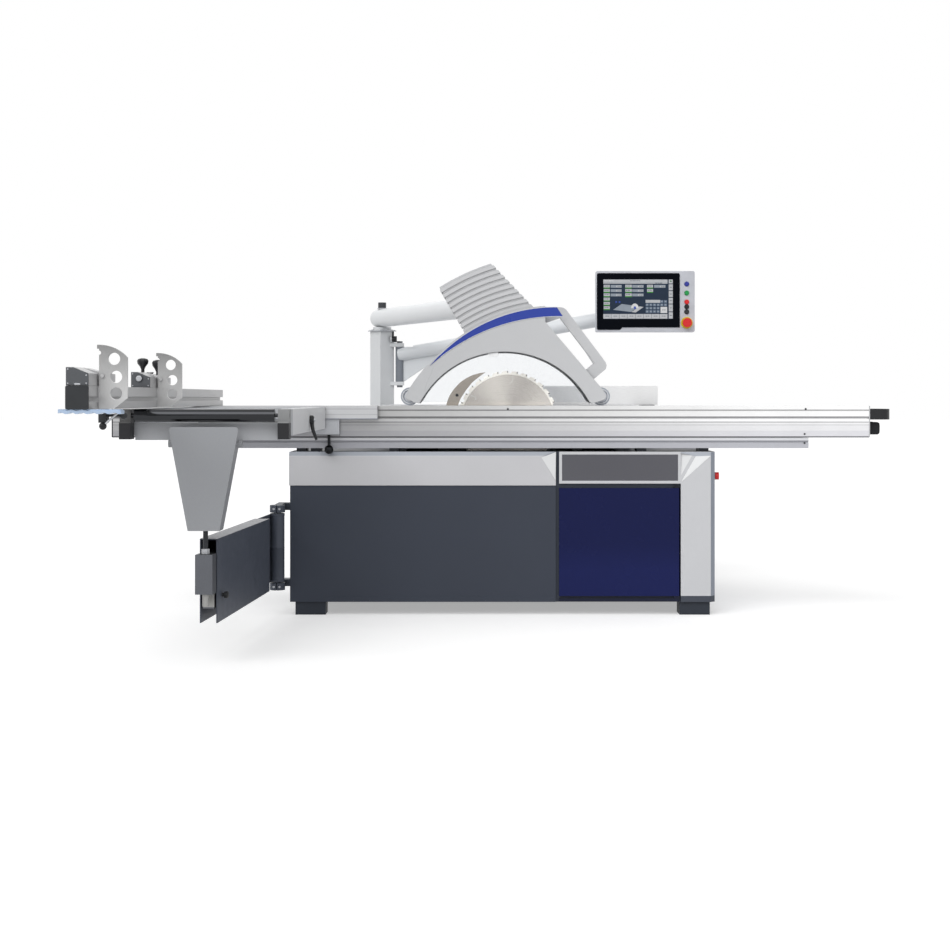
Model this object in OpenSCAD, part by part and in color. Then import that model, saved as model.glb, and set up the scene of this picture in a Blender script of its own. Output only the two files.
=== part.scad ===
// Sliding table saw: a long sliding table on a base cabinet, a tilting blade under an
// overhead hood, a cross-cut outrigger on a swing arm and a control panel on its own arm.
// X runs along the cut, Y from the operator's long side to the rip side, Z up.
// The origin is on the floor, in the middle of the four bolted feet.

/* [Base cabinet] */
// Length of the base cabinet
cab_l = 1800; // [1700:10:2000]
// Depth of the base cabinet, front to back
cab_w = 850; // [840:5:900]
// Height of the feet
foot_h = 55; // [40:1:80]
// Wall of the cabinet
sheet = 4; // [3:0.5:6]
// Thickness of the front covers
cover_t = 12; // [10:1:16]
// Height of the light covers below the cabinet top
cover_h = 143; // [120:1:160]
// Height of the access door
door_h = 457; // [400:1:470]
// Width of the access door
door_w = 508; // [460:1:520]

/* [Sliding table] */
// Height of the work surface
table_z = 885; // [870:1:910]
// Length of the sliding table
table_l = 3200; // [2800:50:3400]
// Width of the sliding table
table_w = 358; // [350:1:370]
// Depth of the sliding table's section
table_t = 134; // [130:1:145]
// Place of the table's middle along the cabinet
table_x = -50; // [-80:1:0]
// Wall of the table's section
table_wall = 8; // [6:0.5:10]
// Length of the fixed rail under the table
rail_l = 2590; // [2300:10:2700]
// Height of the fixed rail
rail_h = 44; // [40:1:50]
// Width of the fixed rail
rail_w = 130; // [122:1:136]
// Gap between the rail and the cabinet
rail_lift = 15; // [12:1:20]

/* [Saw unit] */
// Diameter of the saw blade
blade_d = 450; // [400:1:460]
// Thickness of the saw blade's teeth
blade_t = 4.4; // [3.6:0.2:4.8]
// Number of teeth
teeth = 32; // [24:2:48]
// Place of the blade's arbor along the cabinet
blade_x = 29; // [0:1:60]
// Depth of the arbor's axis under the work surface
blade_drop = 71; // [68:1:80]
// Gap between the sliding table and the middle of the blade
blade_gap = 12; // [10:0.5:14]
// Diameter of the arbor
arbor_d = 30; // [25:1:32]
// Diameter of the scoring blade
scorer_d = 120; // [100:1:125]

/* [Rip side] */
// Length of the rip table
rip_l = 1160; // [1100:10:1240]
// Width of the cast rip table
rip_w = 605; // [560:5:640]
// Width of the extension table
ext_w = 745; // [650:5:800]
// Depth of the rip table's rim
rip_t = 70; // [60:1:80]
// Diameter of the rip fence's guide bar
bar_d = 40; // [36:1:45]
// Length of the rip fence
rip_fence_l = 870; // [800:10:950]
// Height of the rip fence
rip_fence_h = 90; // [80:1:100]
// Distance of the rip fence from the blade
rip_cut = 495; // [460:5:600]

/* [Outrigger] */
// Reach of the outrigger in front of the table
reach = 1400; // [1300:10:1450]
// Width of the outrigger
out_w = 575; // [540:5:600]
// Place of the outrigger's right side along the cabinet
out_x = -745; // [-800:1:-700]
// Diameter of the outrigger roller
roller_d = 44; // [40:1:50]
// Height of the outrigger beams
beam_h = 56; // [50:1:62]
// Width of the outrigger beams
beam_w = 42; // [38:1:48]
// Width of the leg at its top
leg_top = 236; // [220:1:250]
// Width of the leg at its foot
leg_foot = 108; // [95:1:120]
// Height of the sheet leg
leg_h = 352; // [340:1:360]

/* [Swing arm] */
// Height of the swing arm
arm_h = 290; // [270:1:300]
// Width of the swing arm
arm_w = 61; // [56:1:66]
// Clearance between the arm's foot and the floor
arm_z = 145; // [135:1:150]
// Diameter of the pivot pin
arm_pin_d = 30; // [26:1:34]

/* [Cross-cut fence] */
// Length of the cross-cut fence
fence_l = 2514; // [2300:10:2600]
// Width of the cross-cut fence
fence_w = 67; // [60:1:72]
// Height of the cross-cut fence
fence_h = 68; // [62:1:74]
// Height of a flip stop
stop_h = 190; // [170:1:195]
// Width of a flip stop
stop_w = 84; // [78:1:92]

/* [Guard] */
// Radius of the hood's outer arc
hood_r = 729; // [715:1:735]
// Width of the hood
hood_w = 180; // [176:1:186]
// Wall of the hood
hood_wall = 4; // [3:0.5:5]
// Diameter of the guard wheels
wheel_d = 80; // [74:1:82]
// Number of ribs on the extraction neck
ribs = 9; // [6:1:12]
// Diameter of the boom
boom_d = 97; // [90:1:104]
// Height of the boom's axis
boom_z = 1343; // [1335:1:1360]
// Side of the square column
column_s = 90; // [84:1:96]

/* [Control panel] */
// Width of the panel
panel_w = 494; // [470:1:510]
// Height of the panel
panel_h = 305; // [295:1:320]
// Thickness of the panel
panel_t = 55; // [50:1:65]
// Diameter of the panel arm
panel_arm_d = 72; // [66:1:78]
// Diameter of a panel button
button_d = 20; // [16:1:20]
// Diameter of the emergency stop
stop_d = 46; // [40:1:48]

/* [Hidden] */
over = 1;
gap = 0.5;
fit = 0.05;
$fn = 64;

// Colours
light_grey = [0.72, 0.73, 0.73];
slate = [0.17, 0.20, 0.24];
navy = [0.05, 0.08, 0.28];
dark = [0.20, 0.21, 0.22];
black = [0.06, 0.06, 0.07];
silver = [0.78, 0.79, 0.80];
iron = [0.42, 0.43, 0.44];
blue = [0.12, 0.24, 0.60];
red = [0.75, 0.08, 0.08];
green = [0.10, 0.55, 0.20];
yellow = [0.90, 0.75, 0.10];
clear = [0.85, 0.90, 0.94, 0.5];

// Main planes
front = -cab_w / 2;
back = cab_w / 2;
run_gap = 1;
rail_z = table_z - table_t - run_gap - rail_h;
cab_top = rail_z - rail_lift;
cab_left = -cab_l / 2;
cab_right = cab_l / 2;
end_t = 10;
shell_y = front + cover_t;
cover_z = cab_top - cover_h;
edge_y = front + table_w;
blade_y = edge_y + blade_gap;
blade_z = table_z - blade_drop;

// Solid helpers
module box(low, size) {
  translate(low) cube(size);
}

module along_x(length) {
  rotate([90, 0, 90]) linear_extrude(length) children();
}

module along_y(length) {
  translate([0, length, 0]) rotate([90, 0, 0]) linear_extrude(length) children();
}

module rod_x(length, d) {
  rotate([0, 90, 0]) cylinder(h = length, d = d);
}

module rod_y(length, d) {
  rotate([-90, 0, 0]) cylinder(h = length, d = d);
}

module tube(height, d, bore) {
  difference() {
    cylinder(h = height, d = d);
    translate([0, 0, -over]) cylinder(h = height + 2 * over, d = bore);
  }
}

// A rectangle with round corners, its low corner at the origin
module rounded(w, h, r) {
  translate([r, 0]) square([w - 2 * r, h]);
  translate([0, r]) square([w, h - 2 * r]);
  for (x = [r, w - r], y = [r, h - r]) translate([x, y]) circle(r);
}

module rounded_plate(low, w, h, t, r) {
  translate(low) along_y(t) rounded(w, h, r);
}

// Values of the cabinet
foot_l = 128;
foot_w = 100;
foot_in = 22;
foot_bolt_d = 14;
door_gap = 8;
door_post = 153;
door_right = cab_right - door_post;
door_left = door_right - door_w;
door_lift = 25;
door_z = foot_h + door_lift;
door_slack = 1;
door_t = cover_t - door_slack;
door_rim = 24;
door_skin = 3;
split_gap = 14;
panel_split = door_left - split_gap;
panel_drop = 4;
bevel = 19;
overhang = 4;
facet = 64;
column_w = 146;
chamfer = 20;
plate_in = 12;
plate_proud = 2;
hinge_d = 8;
hinge_in = 12;
hinge_lug = 8;
hinge_lug_w = 20;
sill_h = 28;
open_x0 = -420;
open_x1 = 500;
open_front = 135;
open_y0 = front + open_front;
open_rear = 45;
open_y1 = back - open_rear;
port_d = 120;
port_l = 55;
port_x = -250;
port_z = 300;
louvre_h = 6;
louvre_l = 160;
louvre_pitch = 22;
louvres = 7;
button_side_d = 32;
side_stop_l = 22;
side_stop_in = 60;
side_stop_y = front + side_stop_in;
side_stop_drop = 105;
side_stop_z = cab_top - side_stop_drop;
foot_xs = [cab_left + foot_in + foot_l / 2, cab_right - foot_in - foot_l / 2];
foot_ys = [shell_y + foot_w / 2, back - cover_t - foot_w / 2];

module at_feet() {
  for (x = foot_xs, y = foot_ys) translate([x, y, 0]) children();
}

module base_cabinet() {
  shell_h = cab_top - foot_h;
  color(slate) difference() {
    box([cab_left, shell_y, foot_h], [cab_l - end_t, back - shell_y, shell_h]);
    box([cab_left + sheet, shell_y + sheet, foot_h + sheet],
        [cab_l - end_t - 2 * sheet, back - shell_y - 2 * sheet, shell_h - 2 * sheet]);
    box([open_x0, open_y0, cab_top - sheet - over], [open_x1 - open_x0, open_y1 - open_y0,
        sheet + 2 * over]);
    box([door_left + door_gap, shell_y - over, door_z + door_gap],
        [door_w - door_gap + hinge_in / 2, sheet + 2 * over, door_h - 2 * door_gap]);
    box([door_right - door_rim, shell_y - over, door_z - over], [door_rim + hinge_in / 2,
        sheet + 2 * over, door_h + 2 * over]);
    at_feet() translate([0, 0, foot_h - over]) cylinder(h = sheet + 2 * over, d = foot_bolt_d);
    translate([cab_right - end_t - sheet - over, side_stop_y, side_stop_z]) rod_x(sheet + 2 * over,
        hinge_d + 2 * gap);
    translate([port_x, back - sheet - over, port_z]) rod_y(sheet + 2 * over, port_d - 2 * sheet);
    for (i = [0 : louvres - 1])
      box([cab_left - over, -louvre_l / 2, cab_top - cover_h + i * louvre_pitch / 2],
          [sheet + 2 * over, louvre_l, louvre_h]);
  }
  extraction_port();
}

module feet() {
  color(black) at_feet() difference() {
    translate([-foot_l / 2, -foot_w / 2, 0]) cube([foot_l, foot_w, foot_h]);
    translate([0, 0, -over]) cylinder(h = foot_h + 2 * over, d = foot_bolt_d);
  }
}

module front_panel() {
  panel_y = shell_y - cover_t + panel_drop;
  color(slate) box([cab_left, panel_y, foot_h], [panel_split - cab_left, cover_t - panel_drop,
      cover_z - foot_h]);
}

// Light cover with a bevelled top strip and a slanted facet at its right end
module left_cover() {
  x0 = cab_left - overhang;
  x1 = panel_split - facet;
  x2 = panel_split;
  lip_y = shell_y - sheet;
  fold_z = cab_top - bevel;
  dent_y = front + cover_t / 2;
  color(light_grey) polyhedron(
    points = [[x0, front, cover_z], [x0, front, fold_z], [x0, lip_y, cab_top], [x0, shell_y, cab_top],
              [x0, shell_y, cover_z], [x2, front, cover_z], [x2, dent_y, fold_z], [x2, lip_y, cab_top],
              [x2, shell_y, cab_top], [x2, shell_y, cover_z], [x1, front, fold_z]],
    faces = [[4, 3, 2, 1, 0], [0, 1, 10, 5], [5, 10, 6], [1, 2, 7, 10], [10, 7, 6], [2, 3, 8, 7],
             [3, 4, 9, 8], [4, 0, 5, 9], [5, 6, 7, 8, 9]]);
}

// Light frame round the door, bent round the right end of the cabinet
module right_cover() {
  band_h = cover_h - 2 * sheet;
  color(light_grey) {
    difference() {
      box([door_left, front, cab_top - band_h], [cab_right - column_w - door_left, cover_t, band_h]);
      box([door_left + plate_in, front - over, cab_top - band_h + plate_in],
          [cab_right - column_w - door_left - 2 * plate_in, over + plate_proud, band_h - 2 * plate_in]);
    }
    difference() {
      translate([0, 0, foot_h]) linear_extrude(cab_top - foot_h)
        polygon([[cab_right - column_w, front], [cab_right - chamfer, front], [cab_right, front + chamfer],
                 [cab_right, back], [cab_right - end_t, back], [cab_right - end_t, shell_y],
                 [cab_right - column_w, shell_y]]);
      translate([cab_right - end_t - over, side_stop_y, side_stop_z]) rod_x(end_t + 2 * over,
          hinge_d + 2 * fit);
    }
  }
}

module cover_plate() {
  band_h = cover_h - 2 * sheet;
  color(dark) box([door_left + plate_in, front, cab_top - band_h + plate_in],
                  [cab_right - column_w - door_left - 2 * plate_in, plate_proud, band_h - 2 * plate_in]);
}

// Pan door: a skin with a folded rim, bored for its two pins
module access_door() {
  pin_at = [door_right - hinge_in, front + door_t / 2];
  color(navy) difference() {
    box([door_left, front, door_z], [door_w, door_t, door_h]);
    box([door_left + door_rim, front + door_skin, door_z + door_rim],
        [door_w - 2 * door_rim, door_t, door_h - 2 * door_rim]);
    translate([pin_at.x, pin_at.y, door_z - over]) cylinder(h = door_h + 2 * over, d = hinge_d + 2 * fit);
  }
}

// Lugs above and below the door, each with its pin
module door_hinges() {
  pin_at = [door_right - hinge_in, front + door_t / 2];
  pin_l = door_rim / 2;
  color(dark) for (end = [0, 1]) {
    lug_z = end == 0 ? door_z - hinge_lug - gap : door_z + door_h + gap;
    pin_z = end == 0 ? lug_z : lug_z - pin_l - gap;
    box([pin_at.x - hinge_lug_w / 2, front + gap, lug_z], [hinge_lug_w, cover_t - gap, hinge_lug]);
    translate([pin_at.x, pin_at.y, pin_z]) cylinder(h = pin_l + hinge_lug + gap, d = hinge_d);
  }
}

module door_sill() {
  sill_z = door_z - hinge_lug - 2 * gap - sill_h / 2;
  color(navy) box([door_left, front + gap, sill_z], [door_w, cover_t - gap, sill_h / 2]);
}

module extraction_port() {
  color(dark) translate([port_x, back, port_z]) rotate([-90, 0, 0]) {
    tube(port_l, port_d, port_d - 2 * sheet);
    tube(sheet, port_d + 2 * plate_in, port_d - 2 * sheet);
  }
}

module side_stop() {
  color(red) translate([cab_right, side_stop_y, side_stop_z]) {
    translate([plate_in / 2, 0, 0]) rod_x(side_stop_l - plate_in / 2, button_side_d);
    translate([-end_t / 2, 0, 0]) rod_x(end_t / 2 + plate_in, hinge_d);
  }
}

// Values of the sliding table and its rail
table_x0 = table_x - table_l / 2;
table_x1 = table_x + table_l / 2;
lip_h = 18;
lip_in = 3;
slot_top = 49;
slot_h = 6.5;
slot_d = 7;
edge_t = 6;
edge_lip = 14;
edge_run = 43;
run_in = 25;
run_w = 96;
rail_in = 5;
rail_run_d = 14;
roller_small_d = 28;
carriage_l = 1100;
carriage_t = 14;
run_h = roller_small_d + 2 * gap - rail_run_d - run_gap;
roller_small_w = 22;
carriage_rollers = 4;
end_plate_t = 5;
grip_l = 97;
grip_w = 200;
grip_h = 45;
grip_bar = 26;
grip_drop = 58;
grip_z = table_z - grip_drop;
bumper_l = 43;
bumper_h = 55;
bumper_w = 80;
bumper_drop = 124;
bumper_z = table_z - bumper_drop;
pad_l = 40;
pad_end = 46;
pad_step = 60;
pad_mid_x = 65;
pad_mid_span = 1050;
pad_xs = [cab_left + pad_end, cab_left + pad_end + pad_step, pad_mid_x - pad_mid_span / 2,
          pad_mid_x + pad_mid_span / 2, cab_right - pad_end];

// Section of the sliding table in Y and Z: a T-slot in the front, a roller run below and
// an undercut on the inner side that leaves room for the tilted blade
module table_section() {
  bottom = table_z - table_t;
  lip_z = table_z - edge_lip;
  cut_y = edge_y - edge_run;
  slope = lip_z - bottom;
  difference() {
    polygon([[front, table_z], [edge_y, table_z], [edge_y, table_z - edge_t],
             [edge_y - edge_lip + edge_t, lip_z], [cut_y, lip_z], [cut_y - slope, bottom],
             [front + lip_in, bottom], [front + lip_in, table_z - lip_h], [front, table_z - lip_h]]);
    translate([front + lip_in - over, table_z - slot_top - slot_h]) square([slot_d + over, slot_h]);
    translate([front + run_in, bottom - over]) square([run_w, run_h + over]);
    table_chamber(bottom, cut_y);
  }
}

module table_chamber(bottom, cut_y) {
  low = bottom + run_h + table_wall;
  high = table_z - table_wall;
  side = cut_y - table_wall * sqrt(2) - (table_z - edge_lip);
  left = front + lip_in + slot_d + table_wall;
  polygon([[left, low], [left, high], [side + high - table_wall, high], [side + high - table_wall,
      high - table_wall],
           [side + low, low]]);
}

module sliding_table() {
  color(silver) translate([table_x0, 0, 0]) along_x(table_l) table_section();
}

// End plates that follow the section, and the rubber bumper at the operator's end
module table_ends() {
  table_end_plates();
  end_bumper();
}

module table_end_plates() {
  low = table_z - table_t + gap;
  color(dark) for (x = [table_x0 - end_plate_t, table_x1])
    translate([x, 0, 0]) along_x(end_plate_t) difference() {
      polygon([[front + lip_in, table_z - gap], [edge_y - gap, table_z - gap], [edge_y - gap,
          table_z - edge_t],
               [edge_y - edge_run, table_z - edge_lip], [edge_y - edge_run - table_t + edge_lip, low],
               [front + lip_in, low]]);
      translate([front + run_in, low - over]) square([run_w, run_h + over]);
    }
}

// Loop handle at the operator's end of the table
module push_handle() {
  inner_r = grip_bar;
  outer_r = (grip_l - end_plate_t) / 2 - gap;
  color(dark) translate([table_x1 + end_plate_t, front + lip_in + gap, grip_z]) linear_extrude(grip_h)
      difference() {
    union() {
      square([outer_r, grip_w]);
      rounded(grip_l - end_plate_t, grip_w, outer_r);
    }
    translate([grip_bar, grip_bar]) rounded(grip_l - end_plate_t - 2 * grip_bar, grip_w - 2 * grip_bar,
        inner_r / 2);
  }
}

module end_bumper() {
  color(black) translate([table_x1 + end_plate_t, front + run_in + run_w + gap, bumper_z])
    along_x(bumper_l) rounded(bumper_w, bumper_h, bumper_h / 4);
}

// Section of the fixed rail, with the lower roller run
module rail_section() {
  low = front + rail_in;
  difference() {
    translate([low, rail_z]) square([rail_w, rail_h]);
    translate([front + run_in, rail_z + rail_h - rail_run_d]) square([run_w, rail_run_d + over]);
    translate([low + table_wall, rail_z + table_wall])
      square([rail_w - 2 * table_wall, rail_h - rail_run_d - 2 * table_wall]);
    translate([low - over, rail_z + rail_h / 2]) square([slot_d / 2 + over, slot_h]);
  }
}

module lower_rail() {
  color(silver) translate([-rail_l / 2, 0, 0]) along_x(rail_l) rail_section();
}

// Bar with axles and rollers that runs between the rail and the table
module roller_carriage() {
  mid_y = front + run_in + run_w / 2;
  bar_w = run_w - 2 * roller_small_w - 6 * gap;
  mid_z = rail_z + rail_h - rail_run_d + roller_small_d / 2 + gap;
  pitch = carriage_l / carriage_rollers;
  color(iron) {
    box([-carriage_l / 2 + table_x / 2, mid_y - bar_w / 2, mid_z - carriage_t / 2], [carriage_l, bar_w,
        carriage_t]);
    for (i = [0 : carriage_rollers - 1], side = [0, 1]) {
      x = table_x / 2 + (i - (carriage_rollers - 1) / 2) * pitch;
      y = side == 0 ? mid_y - bar_w / 2 - roller_small_w : mid_y + bar_w / 2;
      translate([x, y, mid_z]) rod_y(roller_small_w, roller_small_d);
    }
  }
}

module rail_pads() {
  color(dark) for (x = pad_xs)
    box([x - pad_l / 2, front + 2 * rail_in + cover_t, cab_top], [pad_l, rail_w - 2 * rail_in - cover_t,
        rail_lift]);
}

// Values of the rip side
rip_gap = 10;
rip_y0 = blade_y + rip_gap;
rip_x0 = -530;
rip_x1 = rip_x0 + rip_l;
rip_top_t = 14;
rip_rib = 16;
rip_ribs = 5;
insert_l = 720;
insert_w = 52;
insert_t = 6;
insert_fore = 320;
insert_x = blade_x - insert_fore;
slot_side = 6;
ext_y0 = rip_y0 + rip_w;
ext_y1 = ext_y0 + ext_w;
ext_skin = 4;
ext_h = 60;
strut_w = 40;
strut_drop = 330;
housing_x0 = -470;
housing_x1 = 579;
housing_t = 8;
housing_y0 = open_y1;
bar_out = 60;
bar_x = rip_x1 + bar_out;
bar_drop = 50;
bar_z = table_z - bar_drop;
bar_y0 = rip_y0;
bar_bracket_w = 50;
rip_fence_w = 66;
rip_fence_y = blade_y + rip_cut;
rip_fence_x1 = bar_x + bar_out;
rip_wall = 4;
carriage_w = 150;
carriage_h = 76;
fence_lift = 0.5;

// Cast table: a plate on a rim and cross ribs, with a rebate for the insert
module main_table() {
  pitch = (rip_l - rip_rib) / (rip_ribs - 1);
  color(iron) difference() {
    union() {
      box([rip_x0, rip_y0, table_z - rip_top_t], [rip_l, rip_w, rip_top_t]);
      for (i = [0 : rip_ribs - 1])
        box([rip_x0 + i * pitch, rip_y0 + insert_w + rip_rib, table_z - rip_t], [rip_rib,
            rip_w - insert_w - rip_rib, rip_t]);
      box([rip_x0, rip_y0 + rip_w - rip_rib, table_z - rip_t], [rip_l, rip_rib, rip_t]);
      box([rip_x0, rip_y0 + insert_w + rip_rib, table_z - rip_t], [rip_l, rip_rib, rip_t]);
    }
    box([insert_x - gap, rip_y0 - over, table_z - insert_t - gap], [insert_l + 2 * gap, insert_w + over,
        insert_t + over + gap]);
    box([insert_x + slot_side, rip_y0 - over, table_z - rip_t - over], [insert_l - 2 * slot_side,
        insert_w - slot_side + over, rip_t + over]);
  }
}

module table_insert() {
  color(silver) box([insert_x, rip_y0, table_z - insert_t - gap], [insert_l, insert_w - gap,
      insert_t + gap]);
}

// Folded sheet table on its struts
module extension_table() {
  ext_struts();
  color(light_grey) difference() {
    box([rip_x0, ext_y0, table_z - ext_h], [rip_l, ext_w, ext_h]);
    box([rip_x0 + ext_skin, ext_y0 + ext_skin, table_z - ext_h - over],
        [rip_l - 2 * ext_skin, ext_w - 2 * ext_skin, ext_h - ext_skin + over]);
  }
}

// Slanted struts from the cabinet's back to the extension table
module ext_struts() {
  top_y = ext_y0 + ext_w / 2;
  foot_z = table_z - ext_skin - strut_drop;
  color(light_grey) for (x = [rip_x0 + rip_l / 8, rip_x1 - rip_l / 4])
    translate([x, 0, 0]) along_x(strut_w)
      polygon([[back, foot_z], [top_y, table_z - ext_skin], [top_y + strut_w * 2, table_z - ext_skin],
               [back, foot_z - strut_w]]);
}

// Open frame of the base that carries the cast table behind the blade
module saw_housing() {
  top = table_z - rip_t;
  color(black) {
    box([housing_x0, housing_y0, cab_top], [housing_x1 - housing_x0, housing_t, top - cab_top]);
    for (x = [housing_x0, housing_x1 - housing_t])
      box([x, rip_y0 + insert_w + rip_rib, cab_top], [housing_t,
          housing_y0 - rip_y0 - insert_w - rip_rib, top - cab_top]);
  }
}

// Round bar on brackets along the operator's edge of the rip tables
module guide_bar() {
  bar_l = ext_y1 - bar_y0;
  arm_l = bar_x - rip_x1;
  color(silver) translate([bar_x, bar_y0, bar_z]) rod_y(bar_l, bar_d);
  color(dark) for (y = [rip_y0 + insert_w + 2 * rip_rib, ext_y0 - bar_bracket_w - rip_rib,
      ext_y1 - 2 * bar_bracket_w])
    difference() {
      box([rip_x1, y, bar_z - bar_d], [arm_l, bar_bracket_w, 3 * bar_d / 4]);
      translate([bar_x, y - over, bar_z]) rod_y(bar_bracket_w + 2 * over, bar_d);
    }
}

// Cast carriage that rides on the guide bar
module rip_carriage() {
  y0 = rip_fence_y + rip_fence_w / 2 - carriage_w / 2;
  saddle_x = bar_x - bar_d;
  lip = bar_d / 2;
  color(dark) difference() {
    union() {
      box([saddle_x + lip, y0, bar_z - lip / 2], [2 * bar_d - lip, carriage_w,
          table_z + fence_lift - bar_z + lip / 2]);
      box([bar_x, rip_fence_y + rip_fence_w + gap, table_z], [bar_d, lip, carriage_h]);
    }
    translate([bar_x, y0 - over, bar_z]) rod_y(carriage_w + 2 * over, bar_d + 4 * fit);
    box([saddle_x, y0 - over, bar_z - bar_d], [2 * bar_d + lip, carriage_w + 2 * over, bar_d - lip / 4]);
    box([saddle_x, rip_fence_y - gap, table_z + fence_lift - gap], [3 * bar_d, rip_fence_w + 2 * gap,
        carriage_h]);
  }
}

// Hollow profile with a T-slot on its inner side
module rip_fence() {
  low = table_z + fence_lift;
  color(silver) translate([rip_fence_x1 - rip_fence_l, 0, 0]) along_x(rip_fence_l) difference() {
    translate([rip_fence_y, low]) square([rip_fence_w, rip_fence_h]);
    translate([rip_fence_y + rip_wall, low + rip_wall])
      square([rip_fence_w / 2 - rip_wall, rip_fence_h - 2 * rip_wall]);
    translate([rip_fence_y + rip_fence_w / 2 + rip_wall, low + rip_fence_h / 2])
      square([rip_fence_w / 2 - 2 * rip_wall, rip_fence_h / 2 - rip_wall]);
    translate([rip_fence_y + rip_fence_w / 2 + rip_wall, low + rip_wall])
      square([rip_fence_w / 2 - 2 * rip_wall, rip_fence_h / 2 - 2 * rip_wall]);
    translate([rip_fence_y + rip_fence_w - 2 * rip_wall, low + rip_fence_h / 4])
      square([2 * rip_wall + over, 3 * rip_wall]);
  }
}

// Values of the saw unit; the tilt axis runs along X at the work surface, in the blade's plane
cradle_r = 330;
cradle_in = 250;
cradle_t = 16;
cradle_rear = 315;
cradle_x0 = blade_x - cradle_rear;
cradle_fore = 323;
cradle_x1 = blade_x + cradle_fore;
cradle_drop = 190;
sector_back = 3;
sector_fore = 50;
tilt_max = 45;
rise_max = 155;
cross_back = 135;
cross_y = blade_y + cross_back;
cross_w = 50;
cross_drop = 255;
cross_z = table_z - cross_drop;
cross_h = 60;
guide_back = 117;
guide_y = blade_y + guide_back;
guide_t = 18;
guide_side = 89;
guide_x0 = blade_x - guide_side;
guide_w = 180;
guide_h = 360;
slide_t = 40;
slide_w = 200;
slide_h = 330;
slide_drop = 12;
slide_top = table_z - rip_t - slide_drop;
slide_y = guide_y - slide_t - gap;
housing_d = 80;
housing_l = 28;
pulley_d = 100;
pulley_w = 24;
pulley_back = 19;
pulley_y = blade_y + pulley_back;
belt_t = 6;
motor_dx = 200;
motor_dz = 284;
motor_d = 150;
motor_l = 230;
motor_fins = 16;
fin_h = 5;
shaft_d = 24;
flange_d = 100;
flange_t = 12;
nut_flange_d = 64;
nut_flange_t = 8;
nut_d = 24;
nut_t = 4;
tooth_shares = [0, 0.45, 0.6, 0.9];
tooth_depth_shares = [0, 0.25, 1, 1];
tooth_h = 12;
blade_body_t = 3.2;
knife_gap = 6;
knife_over = 51;
knife_r = blade_d / 2 + knife_over;
knife_off = 20;
knife_t = 3;
knife_hole_d = 14;
knife_low = 40;
knife_arm_h = 30;
scorer_fore = 76;
scorer_x = blade_x + blade_d / 2 + scorer_fore;
scorer_drop = 5;
scorer_z = table_z - scorer_d / 2 - scorer_drop;
scorer_t = 3.2;
scorer_shaft_d = 16;
scorer_hub_d = 40;
scorer_hub_l = 34;
scorer_arm_w = 36;

module at_arbor() {
  translate([blade_x, 0, blade_z]) children();
}

module at_motor() {
  translate([blade_x + motor_dx, 0, blade_z - motor_dz]) children();
}

// Two cross walls of the base, hollowed to cradle the tilt frame, and the frame under the cast table
module saw_frame() {
  color(black) {
    saw_housing();
    rail_pads();
    for (x = [cradle_x0, cradle_x1]) translate([x, 0, 0]) along_x(cradle_t) difference() {
      translate([shell_y + sheet, cab_top - sheet - cradle_drop])
        square([back - shell_y - 2 * sheet, cradle_drop]);
      translate([blade_y, table_z]) circle(cradle_r + gap, $fn = 180);
    }
  }
}

// A ring sector about the tilt axis, between two angles from straight down
module sector(r_in, r_out, from, to) {
  far = r_out * 2;
  intersection() {
    difference() {
      circle(r_out, $fn = 180);
      circle(r_in, $fn = 180);
    }
    polygon([[0, 0], [far * sin(from), -far * cos(from)], [far * sin(to), -far * cos(to)]]);
  }
}

module tilt_frame() {
  hub_y = blade_y + blade_gap;
  color(iron) {
    for (x = [cradle_x0, cradle_x1]) translate([x, blade_y, table_z])
      along_x(cradle_t) sector(cradle_in, cradle_r, -sector_back, sector_fore);
    box([cradle_x0, cross_y, cross_z], [cradle_x1 - cradle_x0 + cradle_t, cross_w, cross_h]);
    box([guide_x0, guide_y, slide_top - guide_h], [guide_w, guide_t, guide_h]);
    scorer_arm(hub_y);
  }
}

// Bearing of the scoring spindle on an arm from the cross beam
module scorer_arm(hub_y) {
  arm_top = scorer_z - scorer_hub_d / 2 + over;
  difference() {
    union() {
      translate([scorer_x, hub_y, scorer_z]) rod_y(scorer_hub_l, scorer_hub_d);
      box([scorer_x - scorer_arm_w / 2, hub_y, cross_z], [scorer_arm_w, scorer_hub_l, arm_top - cross_z]);
      box([scorer_x - scorer_arm_w / 2, hub_y, cross_z], [scorer_arm_w, cross_y - hub_y + over, cross_h]);
    }
    translate([scorer_x, hub_y - over, scorer_z]) rod_y(scorer_hub_l + 2 * over, scorer_shaft_d + 2 * fit);
  }
}

module scoring_blade() {
  color(silver) translate([scorer_x, blade_y, scorer_z]) {
    translate([0, -scorer_t / 2, 0]) rotate([-90, 0, 0]) linear_extrude(scorer_t) toothed(scorer_d,
        teeth / 2, tooth_h / 2);
    translate([0, -scorer_t / 2 - nut_t, 0]) rod_y(scorer_t + nut_t + blade_gap + scorer_hub_l,
        scorer_shaft_d);
    translate([0, scorer_t / 2, 0]) rod_y(blade_gap - scorer_t / 2 - gap, scorer_hub_d);
  }
}

// Disc with saw teeth; each tooth is a hook with its gullet
module toothed(d, count, depth) {
  r = d / 2;
  pitch = 360 / count;
  polygon([for (i = [0 : count - 1], p = [0 : 3])
    let (a = (i + tooth_shares[p]) * pitch, q = r - tooth_depth_shares[p] * depth)
    [q * cos(a), -q * sin(a)]]);
}

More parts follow.
